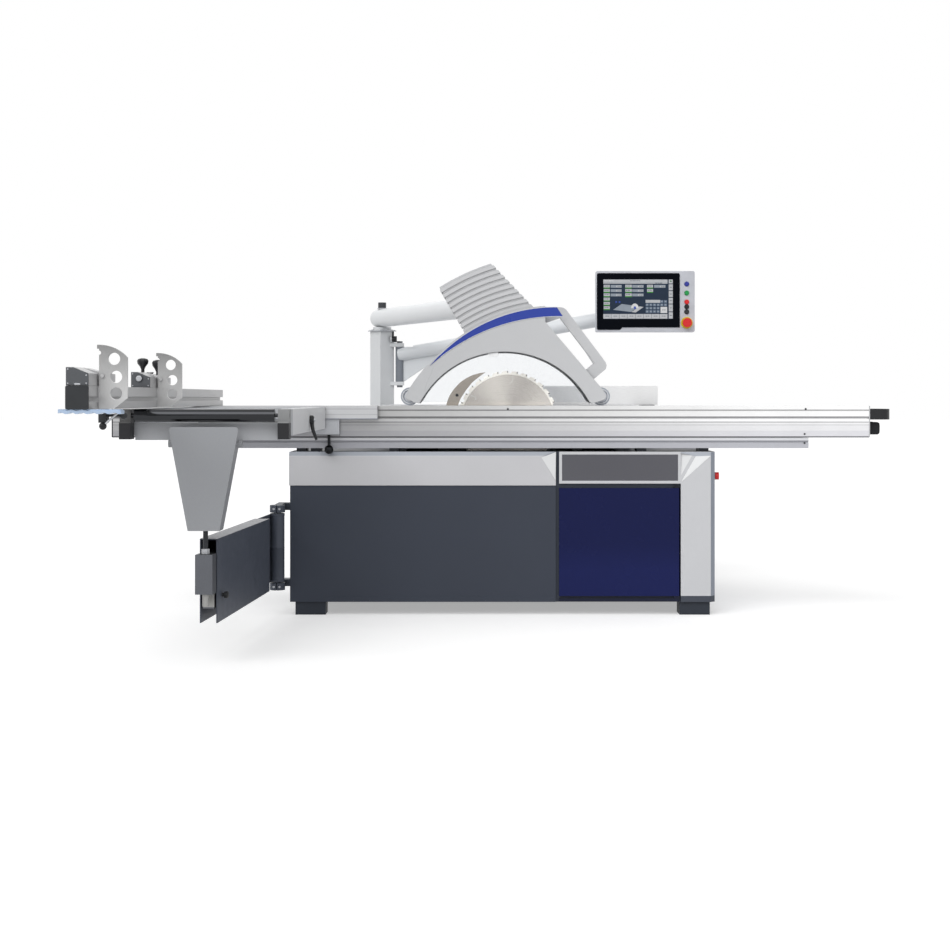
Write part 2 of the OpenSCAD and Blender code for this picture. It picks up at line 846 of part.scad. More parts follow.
module saw_blade() {
  color(silver) at_arbor() translate([0, blade_y, 0]) rotate([-90, 0, 0]) difference() {
    union() {
      translate([0, 0, -blade_t / 2]) linear_extrude(blade_t) difference() {
        toothed(blade_d, teeth, tooth_h);
        circle(blade_d / 2 - tooth_h - blade_t);
      }
      translate([0, 0, -blade_body_t / 2]) cylinder(h = blade_body_t,
          r = blade_d / 2 - tooth_h - blade_t / 2);
    }
    translate([0, 0, -blade_t]) cylinder(h = 2 * blade_t, d = arbor_d + 2 * fit);
  }
}

// Spindle with the inner flange and its pulley, and the nut flange in front of the blade
module arbor() {
  rear = slide_y - gap;
  nose = blade_y - blade_body_t / 2 - nut_flange_t - nut_t;
  color(iron) at_arbor() {
    translate([0, nose + nut_t, 0]) rod_y(rear - nose - nut_t, arbor_d);
    translate([0, nose, 0]) rod_y(nut_t, nut_d);
    translate([0, nose + nut_t, 0]) rod_y(nut_flange_t, nut_flange_d);
    translate([0, blade_y + blade_body_t / 2, 0]) rod_y(flange_t, flange_d);
    translate([0, pulley_y, 0]) rod_y(pulley_w, pulley_d - 2 * gap);
  }
}

// Slide with the arbor's bearing housing and the motor's bracket
module rise_slide() {
  house_y = slide_y - housing_l;
  plate_x = blade_x - slide_w / 2;
  bracket_y = guide_y + guide_t / 2;
  color(iron) difference() {
    union() {
      box([plate_x, slide_y, slide_top - slide_h], [slide_w, slide_t, slide_h]);
      at_arbor() translate([0, house_y, 0]) rod_y(housing_l + over, housing_d);
      box([plate_x, slide_y, blade_z - motor_dz - motor_d / 2], [slide_w / 2 + motor_dx + motor_d / 2,
          slide_t, motor_d]);
    }
    at_arbor() translate([0, house_y - over, 0]) rod_y(housing_l + slide_t + 2 * over, arbor_d + 2 * fit);
    at_motor() translate([0, slide_y - over, 0]) rod_y(slide_t + 2 * over, shaft_d + 2 * fit);
  }
}

// Crescent behind the blade, on an arm from the slide
module riving_knife() {
  inner_r = blade_d / 2 + knife_gap;
  pad_y = blade_y + knife_t / 2;
  arm_y = blade_y + blade_t;
  arm_x0 = blade_x - inner_r - knife_low;
  arm_x1 = blade_x - slide_w / 2;
  arm_z = blade_z - knife_low;
  color(silver) {
    translate([0, blade_y - knife_t / 2, 0]) along_y(knife_t) difference() {
      intersection() {
        translate([blade_x - knife_off, blade_z - knife_off]) circle(knife_r, $fn = 180);
        translate([blade_x - knife_r - 2 * knife_off, arm_z]) square([knife_r - 2 * knife_low,
            inner_r + knife_low - 2 * knife_gap]);
      }
      translate([blade_x, blade_z]) circle(inner_r, $fn = 180);
      translate([blade_x - inner_r + knife_off / 4, table_z + knife_low + knife_gap])
          circle(d = knife_hole_d);
    }
    box([arm_x0, pad_y, arm_z], [knife_low - knife_gap, arm_y - pad_y + over, knife_arm_h]);
    box([arm_x0, arm_y, arm_z], [arm_x1 + knife_low - arm_x0, nut_flange_t, knife_arm_h]);
    box([arm_x1 + over, arm_y, arm_z], [knife_low - over, slide_y - arm_y, knife_arm_h]);
  }
}

// Belt outline: a slot shape between two equal pulleys
module belt_outline(r) {
  span = norm([motor_dx, motor_dz]);
  circle(r);
  translate([span, 0]) circle(r);
  translate([0, -r]) square([span, 2 * r]);
}

// Finned motor with its shaft bore and the belt to the arbor
module motor() {
  slope = atan2(motor_dz, motor_dx);
  color(black) {
    at_arbor() translate([0, pulley_y, 0]) rotate([0, slope, 0]) along_y(pulley_w) difference() {
      belt_outline(pulley_d / 2 + belt_t);
      belt_outline(pulley_d / 2);
    }
    at_motor() translate([0, slide_y + slide_t, 0]) difference() {
      union() {
        rod_y(motor_l, motor_d - 2 * fin_h);
        for (i = [0 : motor_fins - 1]) rotate([0, i * 360 / motor_fins, 0])
          translate([motor_d / 2 - 2 * fin_h, motor_l / 8, -fin_h / 4]) cube([2 * fin_h, motor_l * 3 / 4,
              fin_h / 2]);
      }
      translate([0, -over, 0]) rod_y(motor_l / 2, shaft_d + 2 * fit);
    }
  }
}

module motor_pulley() {
  color(iron) at_motor() translate([0, pulley_y, 0]) {
    rod_y(pulley_w, pulley_d - 2 * gap);
    rod_y(slide_y + slide_t - pulley_y + motor_l / 2 - 2 * over, shaft_d);
  }
}

// Values of the outrigger
out_x0 = out_x - out_w;
out_y = front - reach;
inner_w = 58;
inner_over = 218;
beam_gap = 2;
inner_y = front - beam_gap - inner_w;
beam_z = table_z - beam_h;
beam_wall = 4;
frame_drop = 111;
frame_z = table_z - frame_drop;
frame_h = 59;
side_h = 90;
side_drop = 5;
side_z = table_z - side_drop - side_h;
roller_l = 476;
roller_y = out_y + roller_d / 2;
roller_drop = 4;
roller_z = table_z - roller_drop - roller_d / 2;
axle_d = 14;
bracket_l = 110;
bracket_t = 38;
cross_bars = 3;
cross_bar_h = 30;
leg_x = out_x0 + out_w / 2;
leg_drop = 65;
leg_top_z = table_z - leg_drop;
leg_fore = 6;
leg_y = out_y - leg_fore;
leg_depth = 84;
leg_sheet = 4;
leg_rod_d = 20;
leg_rod_over = 18;
leg_knob_d = 26;
post_d = 17;
post_l = 81;
nut_h = 17;
nut_w = 28;
clamp_l = 114;
clamp_h = 64;
clamp_t = 40;
tongue_t = 4;
hang_d = 12;
hang_l = 50;
ball_d = 38;
lever_hub_d = 34;
lever_l = 105;
lever_w = 22;
lever_t = 16;
lever_in = 700;
lever_y = out_y + lever_in;

// Hollow beam along X, its low corner given
module beam_x(low, length, w, h) {
  translate(low) along_x(length) difference() {
    square([w, h]);
    translate([beam_wall, beam_wall]) square([w - 2 * beam_wall, h - 2 * beam_wall]);
  }
}

module beam_y(low, length, w, h) {
  translate(low) along_y(length) difference() {
    square([w, h]);
    translate([beam_wall, beam_wall]) square([w - 2 * beam_wall, h - 2 * beam_wall]);
  }
}

// Welded frame: a beam along the table, two side beams, a front beam and cross bars
module outrigger_frame() {
  side_y = roller_y + roller_d;
  side_l = inner_y - side_y;
  pitch = side_l / (cross_bars + 1);
  color(light_grey) {
    beam_x([out_x0, inner_y, beam_z], out_w + inner_over, inner_w, beam_h);
    for (x = [out_x0, out_x - beam_w]) beam_y([x, side_y, side_z], side_l, beam_w, side_h);
    beam_x([out_x0 + beam_w, side_y, frame_z], out_w - 2 * beam_w, beam_w, frame_h);
    for (i = [1 : cross_bars])
      beam_x([out_x0 + beam_w, side_y + i * pitch, side_z + side_h - cross_bar_h], out_w - 2 * beam_w,
          beam_w, cross_bar_h);
    translate([pivot_at.x, pivot_at.y, table_z - beam_wall])
        cylinder(h = beam_wall + fence_lift + pivot_h - gap, d = pivot_d);
  }
}

// Forged ends that hold the roller's axle
module roller_brackets() {
  low = roller_z - roller_d / 2 - frame_h;
  color(dark) for (x = [out_x0, out_x - bracket_t]) difference() {
    union() {
      box([x, out_y + roller_d / 4, roller_z - roller_d / 2], [bracket_t,
          7 * roller_d / 4 - roller_d / 2, roller_d - over]);
      box([x, out_y, low], [bracket_t, roller_d * 3 / 2, frame_h]);
    }
    translate([x - over, roller_y, roller_z]) rod_x(bracket_t + 2 * over, axle_d + 2 * fit);
  }
}

// Chrome tube on its axle
module outrigger_roller() {
  tube_x = out_x0 + out_w / 2 - roller_l / 2;
  color(silver) translate([0, roller_y, roller_z]) {
    translate([tube_x, 0, 0]) rod_x(roller_l, roller_d);
    translate([out_x0 + over, 0, 0]) rod_x(out_w - 2 * over, axle_d);
  }
}

// Folded sheet that narrows to its foot, with side flanges and a cross rod
module support_leg() {
  foot_z = leg_top_z - leg_h;
  half_top = leg_top / 2;
  half_foot = leg_foot / 2;
  color(light_grey) translate([leg_x, 0, 0]) {
    difference() {
      translate([0, leg_y, 0]) along_y(leg_depth) leg_outline(0);
      translate([0, leg_y + leg_sheet, 0]) along_y(leg_depth) leg_outline(leg_sheet);
      box([-half_top - over, leg_y + leg_sheet, frame_z], [leg_top + 2 * over, leg_depth, frame_h]);
    }
    translate([-half_foot, leg_y, foot_z]) cube([leg_foot, leg_depth, leg_sheet]);
  }
  color(black) leg_rod();
}

module leg_outline(inset) {
  half_top = leg_top / 2 - inset;
  half_foot = leg_foot / 2 - inset;
  foot_z = leg_top_z - leg_h + inset;
  polygon([[-half_foot, foot_z], [half_foot, foot_z], [half_top, leg_top_z - 2 * leg_sheet],
           [half_top - 2 * leg_sheet, leg_top_z], [2 * leg_sheet - half_top, leg_top_z],
           [-half_top, leg_top_z - 2 * leg_sheet]]);
}

// Rod across the leg under the front beam, with a knob at each end
module leg_rod() {
  rod_z = frame_z - leg_rod_d / 2 - over;
  share = (leg_top_z - rod_z) / leg_h;
  half = (leg_top + share * (leg_foot - leg_top)) / 2;
  for (side = [-1, 1]) translate([leg_x + side * (half + leg_rod_over / 2), leg_y + leg_depth / 2, rod_z])
    translate([-leg_rod_over / 2, 0, 0]) rod_x(leg_rod_over, leg_knob_d);
}

// Threaded post under the leg with its lock nut
module leg_post() {
  foot_z = leg_top_z - leg_h;
  color(black) translate([leg_x, leg_y + leg_depth / 2, foot_z - post_l]) {
    cylinder(h = post_l, d = post_d);
    cylinder(h = nut_h, d = nut_w, $fn = 6);
  }
}

// Bracket that hooks into the table's slot, with the hanging clamp rod and its ball
module table_clamp() {
  low = table_z - beam_h - clamp_h - 2 * over;
  tongue_z = table_z - slot_top - slot_h / 2 - tongue_t / 2;
  x0 = out_x - clamp_l / 2;
  hang = [out_x + hang_d, front - beam_gap - clamp_t / 2];
  color(iron) {
    box([x0, front - beam_gap - clamp_t, low], [clamp_l, clamp_t, clamp_h + 2 * over]);
    box([x0, front - beam_gap, tongue_z], [clamp_l, beam_gap + lip_in + slot_d / 2, tongue_t]);
  }
  color(black) {
    translate([hang.x, hang.y, low - hang_l]) cylinder(h = hang_l, d = hang_d);
    translate([hang.x, hang.y, low - hang_l - ball_d / 3]) sphere(d = ball_d);
  }
}

// Lever that locks the outrigger, hung from its hub on the right side beam
module clamp_lever() {
  color(black) translate([out_x + gap, lever_y, side_z + side_h / 2]) {
    rod_x(lever_t, lever_hub_d);
    translate([0, -lever_w / 2, 0]) cube([lever_t, lever_w, side_h / 2 - beam_gap]);
    translate([0, -lever_w / 2, -lever_l + side_h / 2]) cube([lever_t, lever_w, lever_l - side_h / 2]);
  }
}

// Values of the swing arm
hinge_side = 48;
hinge_x = cab_left - hinge_side;
hinge_fore = 40;
hinge_y = front - hinge_fore;
arm_tube_d = 60;
arm_sheet = 4;
arm_end = 45;
collar_d = 64;
collar_h = 30;
collar_gap = 3;
post_at = [leg_x, leg_y + leg_depth / 2];
arm_turn = atan2(hinge_x - post_at.x, hinge_y - post_at.y);
arm_l = norm([hinge_x - post_at.x, hinge_y - post_at.y]);
block_gap = 0.8;
block_z = leg_top_z - leg_h - post_l - block_gap;
block_h = 135;
block_w = 60;
block_l = 56;
under_d = 22;
under_h = 42;
runner_w = 40;
runner_h = 190;
runner_l = 700;
lock_d = 24;
lock_l = 22;

// Places its children in the arm's own frame: the pivot at the origin, the arm along -Y
module at_arm() {
  translate([hinge_x, hinge_y, 0]) rotate([0, 0, -arm_turn]) children();
}

// Bracket on the cabinet's left end with two split collars and the pivot pin
module arm_bracket() {
  low = arm_z - collar_gap - collar_h;
  high = arm_z + arm_h + collar_gap;
  color(slate) for (z = [low, high]) {
    difference() {
      union() {
        translate([hinge_x, hinge_y, z]) cylinder(h = collar_h, d = collar_d);
        box([hinge_x - collar_d / 4, hinge_y, z], [collar_d / 2, 3 * collar_d, collar_h]);
        box([hinge_x, hinge_y + 2 * collar_d, z], [cab_left - hinge_x, collar_d, collar_h]);
      }
      box([hinge_x - collar_gap / 2, hinge_y - collar_d, z - over], [collar_gap,
          collar_d / 2 + arm_pin_d / 2, collar_h + 2 * over]);
    }
  }
  color(dark) translate([hinge_x, hinge_y, low]) cylinder(h = high - low + collar_h, d = arm_pin_d);
}

// Inverted channel with its hinge tube
module swing_arm() {
  span = arm_l - arm_end;
  color(slate) at_arm() difference() {
    union() {
      translate([0, 0, arm_z]) cylinder(h = arm_h, d = arm_tube_d);
      translate([-arm_w / 2, -span, arm_z]) cube([arm_w, span, arm_h]);
    }
    translate([arm_sheet - arm_w / 2, -span - over, arm_z - over])
      cube([arm_w - 2 * arm_sheet, span - arm_tube_d / 2 + over, arm_h - arm_sheet + over]);
    translate([0, 0, arm_z - over]) cylinder(h = arm_h + 2 * over, d = arm_pin_d + 2 * fit);
  }
  color(black) at_arm() translate([arm_w / 2, -span * 3 / 4, arm_z + arm_h / 5]) rod_x(lock_l, lock_d);
}

// Runner inside the channel with the bearing block that the post stands on
module arm_slide() {
  span = arm_l - arm_end;
  color(iron) at_arm() {
    translate([-runner_w / 2, -span, arm_z + (arm_h - runner_h) / 2]) cube([runner_w, runner_l, runner_h]);
    translate([-block_w / 2, -arm_l - block_l / 2, block_z - block_h]) cube([block_w, block_l, block_h]);
    translate([-runner_w / 2, -span - arm_end, block_z - block_h]) cube([runner_w, arm_end + over,
        block_h]);
    translate([0, -arm_l, block_z - block_h - under_h]) cylinder(h = under_h + over, d = under_d);
  }
}

// Values of the cross-cut fence
fence_in = 90;
fence_x = out_x0 + fence_in - fence_w;
fence_short = 58;
fence_y1 = edge_y - fence_short;
fence_y0 = fence_y1 - fence_l;
fence_z = table_z + fence_lift;
fence_wall = 4;
fence_slot_w = 14;
fence_slot_d = 12;
pivot_d = 20;
pivot_h = 12;
pivot_at = [fence_x + fence_w / 2, inner_y + inner_w / 2];
cap_t = 8;
glide_w = 180;
glide_l = 40;
glide_t = 10;
lock_at = 410;
lock_y = fence_y0 + lock_at;
lock_block_w = 24;
lock_block_h = 45;
lock_rod_l = 50;
lock_ball_d = 26;
near_at = 110;
near_y = fence_y0 + near_at;
far_at = 1010;
far_y = fence_y0 + far_at;
stop_t = 10;
stop_pin_d = 12;
stop_hub = 16;
stop_hole_d = 36;
stop_hole_shares = [[0.53, 0.78], [0.6, 0.5], [0.6, 0.24]];
carriage_len = 92;
carriage_top = 54;
bridge_h = 12;
knob_d = 34;
knob_h = 26;
stop_pin_up = 30;
stop_pin_z = fence_z + fence_h + stop_pin_up;
stop_pin_out = 14;
stop_pin_x = fence_x + fence_w + stop_pin_out;

// Hollow profile with slots in its top and right face, bored for the pivot pin
module fence_section() {
  difference() {
    square([fence_w, fence_h]);
    translate([fence_wall, fence_wall])
      square([fence_w - fence_slot_d - 3 * fence_wall, fence_h - fence_slot_d - 3 * fence_wall]);
    translate([(fence_w - fence_slot_w) / 2, fence_h - fence_slot_d]) square([fence_slot_w,
        fence_slot_d + over]);
    translate([fence_w - fence_slot_d, fence_h / 3]) square([fence_slot_d + over, fence_slot_w]);
  }
}

module fence_profile() {
  color(silver) difference() {
    translate([fence_x, fence_y0, fence_z]) along_y(fence_l) fence_section();
    translate([pivot_at.x, pivot_at.y, fence_z - over]) cylinder(h = pivot_h + over, d = pivot_d + 2 * fit);
  }
}

// Dark end cap, the glide under it and the length lock with its ball lever
module fence_fittings() {
  color(dark) {
    translate([fence_x, fence_y0 - cap_t, fence_z]) along_y(cap_t) rounded(fence_w, fence_h, fence_wall);
    box([fence_x, lock_y, fence_z - lock_block_h], [lock_block_w, carriage_len / 2, lock_block_h]);
    translate([fence_x + lock_block_w, lock_y + carriage_len / 4, fence_z - lock_block_h / 2])
      rod_x(lock_rod_l, lock_ball_d / 3);
    translate([fence_x + lock_block_w + lock_rod_l, lock_y + carriage_len / 4, fence_z - lock_block_h / 2])
      sphere(d = lock_ball_d);
  }
  color(clear) box([fence_x - glide_w / 8, fence_y0, fence_z - glide_t], [glide_w, glide_l, glide_t]);
}

// Block that rides on the fence, with a tongue in the top slot, a sloped top and the stop's pin;
// a bridge under the stop's sweep joins it to a second block in front
module stop_carriage(y) {
  top_z = fence_z + fence_h + fence_lift;
  slope = carriage_top / 3;
  right = fence_x + fence_w;
  ridge = [[fence_x + fence_w / 3, top_z + carriage_top], [fence_x, top_z + carriage_top]];
  fore_l = near_at - gap;
  color(light_grey) translate([0, y, 0]) {
    translate([0, stop_t + gap, 0]) along_y(carriage_len)
      polygon(concat([[fence_x, top_z], [right, top_z], [stop_pin_x + stop_hub, stop_pin_z - stop_hub],
                      [stop_pin_x + stop_hub, top_z + carriage_top - slope]], ridge));
    translate([0, -gap - fore_l, 0]) along_y(fore_l)
      polygon(concat([[fence_x, top_z], [right, top_z], [right, top_z + carriage_top - slope]], ridge));
    box([fence_x, -gap - over, top_z], [fence_w, stop_t + 2 * gap + 2 * over, bridge_h]);
    box([fence_x + (fence_w - fence_slot_w) / 2 + gap, stop_t + gap, top_z - fence_slot_d / 2],
        [fence_slot_w - 2 * gap, carriage_len, fence_slot_d / 2 + over]);
  }
  color(dark) translate([stop_pin_x, y - stop_t / 2, stop_pin_z]) rod_y(2 * stop_t, stop_pin_d);
}

// Pear-shaped hand knob on a short stem
module star_knob() {
  rotate_extrude() polygon([[0, 0], [knob_d / 6, 0], [knob_d / 6, knob_h / 3], [knob_d / 2, knob_h],
                            [knob_d / 2, knob_h * 5 / 4], [knob_d / 3, knob_h * 3 / 2], [0, knob_h * 3 / 2]]);
}

module carriage_knobs(y, count) {
  top_z = fence_z + fence_h + fence_lift + carriage_top;
  for (i = [0 : count - 1])
    translate([fence_x + fence_w / 2 + i * knob_d * 1.2, y + stop_t + carriage_len / 2,
        top_z - carriage_top / 3])
      star_knob();
}

module near_carriage() {
  stop_carriage(near_y);
}

module far_carriage() {
  stop_carriage(far_y);
  color(black) carriage_knobs(far_y, 2);
}

// Flip stop: a plate across the fence with an arched top, a hook at its left and round holes
module flip_stop(y) {
  low = fence_z + gap;
  left = fence_x + fence_w + fence_wall;
  arch_r = stop_w * 4 / 3;
  hook = stop_h / 16;
  color(light_grey) translate([0, y, 0]) difference() {
    along_y(stop_t) translate([left, low]) difference() {
      intersection() {
        polygon([[0, 0], [stop_w / 2, 0], [stop_w, stop_h / 6], [stop_w, stop_h], [-hook / 2, stop_h],
                 [-hook / 2, stop_h - hook], [0, stop_h - hook]]);
        translate([0, stop_h - arch_r]) circle(arch_r, $fn = 180);
      }
      translate([0, stop_h - 2 * hook]) circle(hook / 2);
      for (p = stop_hole_shares) translate([p.x * stop_w, p.y * stop_h]) circle(d = stop_hole_d);
    }
    translate([stop_pin_x, -over, stop_pin_z]) rod_y(stop_t + 2 * over, stop_pin_d + 2 * fit);
  }
}

module near_stop() {
  flip_stop(near_y);
}

module far_stop() {
  flip_stop(far_y);
}

// Values of the guard; the hood's outline lies in X and Z
hood_c_shares = [0.2867, -0.3937];
hood_cx = blade_x + hood_r * hood_c_shares.x;
hood_cz = table_z + hood_r * hood_c_shares.y;
hood_front = 43;
hood_y = edge_y - hood_front;
hood_lift = 15;
hood_z = table_z + hood_lift;
hood_rear_share = 0.55;
hood_left = blade_x - hood_r * hood_rear_share;
foot_share = 0.5158;
hood_foot = [blade_x + hood_r * foot_share, hood_z];
cheek_shares = [0.561, 0.1125];
hood_cheek = [blade_x, table_z] + hood_r * cheek_shares;
shoulder_shares = [0.225, 0.5089];
hood_shoulder = [blade_x, table_z] + hood_r * shoulder_shares;
hood_high = 2 * hood_r;
window_share = 0.583;
window_r = hood_r * window_share;
window_c_shares = [-0.0192, -0.2565];
window_c = [blade_x, table_z] + hood_r * window_c_shares;
window_t = 3;
window_rim = 12;
band_shares = [-0.0562, -0.0631];
band_shift = hood_r * band_shares;
band_t = 2;
band_in = 5;
band_share = 0.7407;
band_l = hood_r * band_share;
band_end_share = 0.3237;
band_end = blade_x + hood_r * band_end_share;
handle_w = 60;
handle_share = 0.6036;
handle_l = hood_r * handle_share;
handle_shares = [[0.36, 0.83], [0.36, 1], [0.541, 0.995], [1, 0.414], [0.845, 0.25], [0.764, 0.341],
                 [0.87, 0.425], [0.559, 0.898]];
wheel_w = 30;
wheel_pin_d = 10;
wheel_z = table_z + wheel_d / 2 + gap;
wheel_shares = [-0.6008, 0.5706];
wheel_xs = [for (k = wheel_shares) blade_x + hood_r * k];
ear_d = 34;
neck_share = 1.3169;
neck_r = hood_r * neck_share;
neck_in = 15;
neck_wall = 6;
rib_h = 5;
rib_share = 0.6;
neck_reach_share = 0.8587;
neck_reach = hood_r * neck_reach_share;
neck_low_shares = [[-0.305, 0.513], [0.177, 0.7]];
neck_high_shares = [[-0.495, 0.84], [-0.11, 1]];
neck_low = neck_reach * neck_low_shares;
neck_high = neck_reach * neck_high_shares;
mast_s = 40;
mast_rear = 64;
mast_back = 45;
mast_at = [blade_x - mast_rear, hood_y + hood_w + mast_back];
mast_up = 225;
mast_z0 = table_z + mast_up;
mast_l = 360;
mast_foot = 55;
collar_side = 20;
column_rear = 643;
column_back = 1430;
column_at = [blade_x - column_rear, blade_y + column_back];
column_turn = 40;
column_gap = 20;
column_top = boom_z - boom_d / 2 - column_gap;
column_wall = 5;
base_plate = 220;
base_plate_t = 12;
boom_wall = 4;
boom_back = 45;
bolt_d = 30;
bolt_h = 34;
cap_plate_t = 20;
column_knob_d = 34;
lug_up = 100;
lug_span = 205;
lug_z = [table_z + lug_up, table_z + lug_up + lug_span];
lug_t = 20;
lug_w = 44;
lug_reach = 94;
brace_t = 10;

// Outline of the hood's cheek; inset moves every edge but the foot inwards
module hood_outline(inset, foot) {
  intersection() {
    translate([hood_cx, hood_cz]) circle(hood_r - inset, $fn = 180);
    polygon([[hood_left + inset, foot], [hood_foot.x - inset, foot], [hood_cheek.x - inset, hood_cheek.y],
             [hood_shoulder.x - inset, hood_shoulder.y], [hood_shoulder.x - inset, hood_cz + hood_high],
             [hood_left + inset, hood_cz + hood_high]]);
  }
}

module window_outline(grow) {
  intersection() {
    translate(window_c) circle(window_r + grow, $fn = 180);
    translate([window_c.x - 2 * window_r, hood_z - over]) square([4 * window_r, 2 * window_r]);
  }
}

// Hood shell with open arches in both cheeks, ears for the wheels, the pull handle and the mast
module guard_hood() {
  mast_x = mast_at.x - mast_s / 2;
  mast_y = mast_at.y - mast_s / 2;
  color(light_grey) difference() {
    union() {
      translate([0, hood_y, 0]) along_y(hood_w) hood_outline(0, hood_z);
      for (y = [hood_y, hood_y + hood_w - hood_wall], i = [0, 1]) translate([0, y, 0]) along_y(hood_wall)
          wheel_ear(i);
    }
    translate([0, hood_y + hood_wall, 0]) along_y(hood_w - 2 * hood_wall) hood_outline(hood_wall,
        hood_z - over);
    translate([0, hood_y - over, 0]) along_y(hood_w + 2 * over) window_outline(0);
    translate([0, hood_y + neck_in + neck_wall, 0]) along_y(hood_w - 2 * neck_in - 2 * neck_wall)
      neck_outline(neck_wall, hood_r - 2 * hood_wall, hood_r + over);
    for (x = wheel_xs) translate([x, 0, wheel_z]) {
      translate([0, hood_y - over, 0]) rod_y(hood_w + 2 * over, wheel_pin_d);
      translate([0, hood_y + (hood_w - wheel_w) / 2 - over, 0]) rod_y(wheel_w + 2 * over,
          wheel_d + 2 * over);
    }
  }
  color(light_grey) {
    for (x = wheel_xs) translate([x, hood_y, wheel_z]) rod_y(hood_w, wheel_pin_d);
    translate([0, hood_y + (hood_w - handle_w) / 2, 0]) along_y(handle_w)
      polygon([for (p = handle_shares) [blade_x, table_z] + handle_l * p]);
    box([mast_x, hood_y + hood_w, mast_z0], [mast_s, mast_at.y - hood_y - hood_w, mast_foot]);
    box([mast_x, mast_y, mast_z0], [mast_s, mast_s, mast_l]);
  }
}

// Ear that carries a wheel's axle
module wheel_ear(i) {
  inner_x = i == 0 ? hood_left + ear_d : hood_foot.x - ear_d;
  x0 = min(inner_x, wheel_xs[i]);
  x1 = max(inner_x, wheel_xs[i]);
  translate([wheel_xs[i], wheel_z]) circle(d = ear_d);
  translate([x0, wheel_z - ear_d / 2]) square([x1 - x0, ear_d]);
}

module guard_window() {
  color(clear) for (y = [hood_y + hood_wall, hood_y + hood_w - hood_wall - window_t])
    translate([0, y, 0]) along_y(window_t) intersection() {
      window_outline(window_rim);
      hood_outline(hood_wall, hood_z + gap);
    }
}

// Crescent under the outer arc, on both cheeks
module guard_band() {
  color(blue) for (y = [hood_y - band_t, hood_y + hood_w]) translate([0, y, 0]) along_y(band_t)
      intersection() {
    difference() {
      translate([hood_cx, hood_cz]) circle(hood_r - band_in, $fn = 180);
      translate([hood_cx, hood_cz] + band_shift) circle(hood_r, $fn = 180);
    }
    translate([band_end - band_l, hood_cz]) square([band_l, 2 * hood_r]);
  }
}

// Part of the ring about the hood's centre that lies between the neck's slanted edges
module neck_outline(inset, r_in, r_out) {
  low_l = [blade_x, table_z] + neck_low[0];
  low_r = [blade_x, table_z] + neck_low[1];
  run_l = neck_high[0] - neck_low[0];
  run_r = neck_high[1] - neck_low[1];
  intersection() {
    translate([hood_cx, hood_cz]) difference() {
      circle(r_out, $fn = 180);
      circle(r_in, $fn = 180);
    }
    polygon([low_l - run_l + [inset, 0], low_r - run_r - [inset, 0], low_r + 2 * run_r - [inset, 0],
        low_l + 2 * run_l + [inset, 0]]);
  }
}

// Ribbed neck: rings of the same centre, wide and narrow by turns, with an open bore
module extraction_neck() {
  pitch = (neck_r - hood_r) / ribs;
  depth = hood_w - 2 * neck_in;
  color(light_grey) difference() {
    union() {
      translate([0, hood_y + neck_in + rib_h, 0]) along_y(depth - 2 * rib_h) neck_outline(rib_h, hood_r,
          neck_r);
      for (i = [0 : ribs - 1]) translate([0, hood_y + neck_in, 0]) along_y(depth)
        neck_outline(0, hood_r + i * pitch, hood_r + (i + rib_share) * pitch);
    }
    translate([0, hood_y + neck_in + neck_wall + rib_h, 0]) along_y(depth - 2 * neck_wall - 2 * rib_h)
      neck_outline(neck_wall + rib_h, hood_r - over, neck_r + over);
  }
}

module guard_wheel(i) {
  hub_d = wheel_d / 2;
  color(dark) translate([wheel_xs[i], hood_y + (hood_w - wheel_w) / 2, wheel_z]) rotate([-90, 0, 0])
    rotate_extrude() {
      translate([wheel_pin_d / 2 + fit, 0]) square([hub_d / 2 - wheel_pin_d / 2, wheel_w]);
      translate([hub_d / 2, wheel_w / 4]) square([wheel_d / 2 - hub_d / 2 - wheel_w / 4, wheel_w / 2]);
      translate([wheel_d / 2 - wheel_w / 3, 0]) square([wheel_w / 3, wheel_w]);
    }
}

module left_wheel() {
  guard_wheel(0);
}

module right_wheel() {
  guard_wheel(1);
}

// Square post on a floor plate, with the panel arm's hinge lugs and pin
module guard_column() {
  lug_x = column_at.x + lug_reach;
  color(light_grey) {
    translate([column_at.x, column_at.y, 0]) rotate([0, 0, column_turn]) {
      difference() {
        translate([-column_s / 2, -column_s / 2, 0]) cube([column_s, column_s, column_top]);
        translate([column_wall - column_s / 2, column_wall - column_s / 2, base_plate_t])
          cube([column_s - 2 * column_wall, column_s - 2 * column_wall,
              column_top - base_plate_t - cap_plate_t]);
      }
      translate([-base_plate / 2, -base_plate / 2, 0]) cube([base_plate, base_plate, base_plate_t]);
    }
    translate([column_at.x, column_at.y, column_top]) {
      cylinder(h = cap_plate_t - gap, d = boom_d);
      cylinder(h = cap_plate_t + boom_d + bolt_h / 2, d = bolt_d);
    }
    for (z = lug_z) box([column_at.x, column_at.y - lug_w / 2, z], [lug_reach + lug_w / 2, lug_w, lug_t]);
    translate([lug_x, column_at.y, lug_z[0] - lug_t / 2]) cylinder(h = lug_z[1] - lug_z[0] + 2 * lug_t,
        d = bolt_d);
    box([column_at.x, ext_y1, table_z - ext_h], [rip_x0 - column_at.x + column_s, brace_t, ext_h - over]);
    box([column_at.x, ext_y1, table_z - ext_h], [brace_t, column_at.y - ext_y1, ext_h - over]);
  }
  color(black) {
    translate([column_at.x, column_at.y, column_top + cap_plate_t + boom_d]) cylinder(h = bolt_h,
        d = 2 * bolt_d - bolt_h / 2);
    translate([column_at.x + column_s / 2, column_at.y - column_s / 4, column_top - column_s / 2])
      rod_x(column_knob_d, column_knob_d);
  }
}

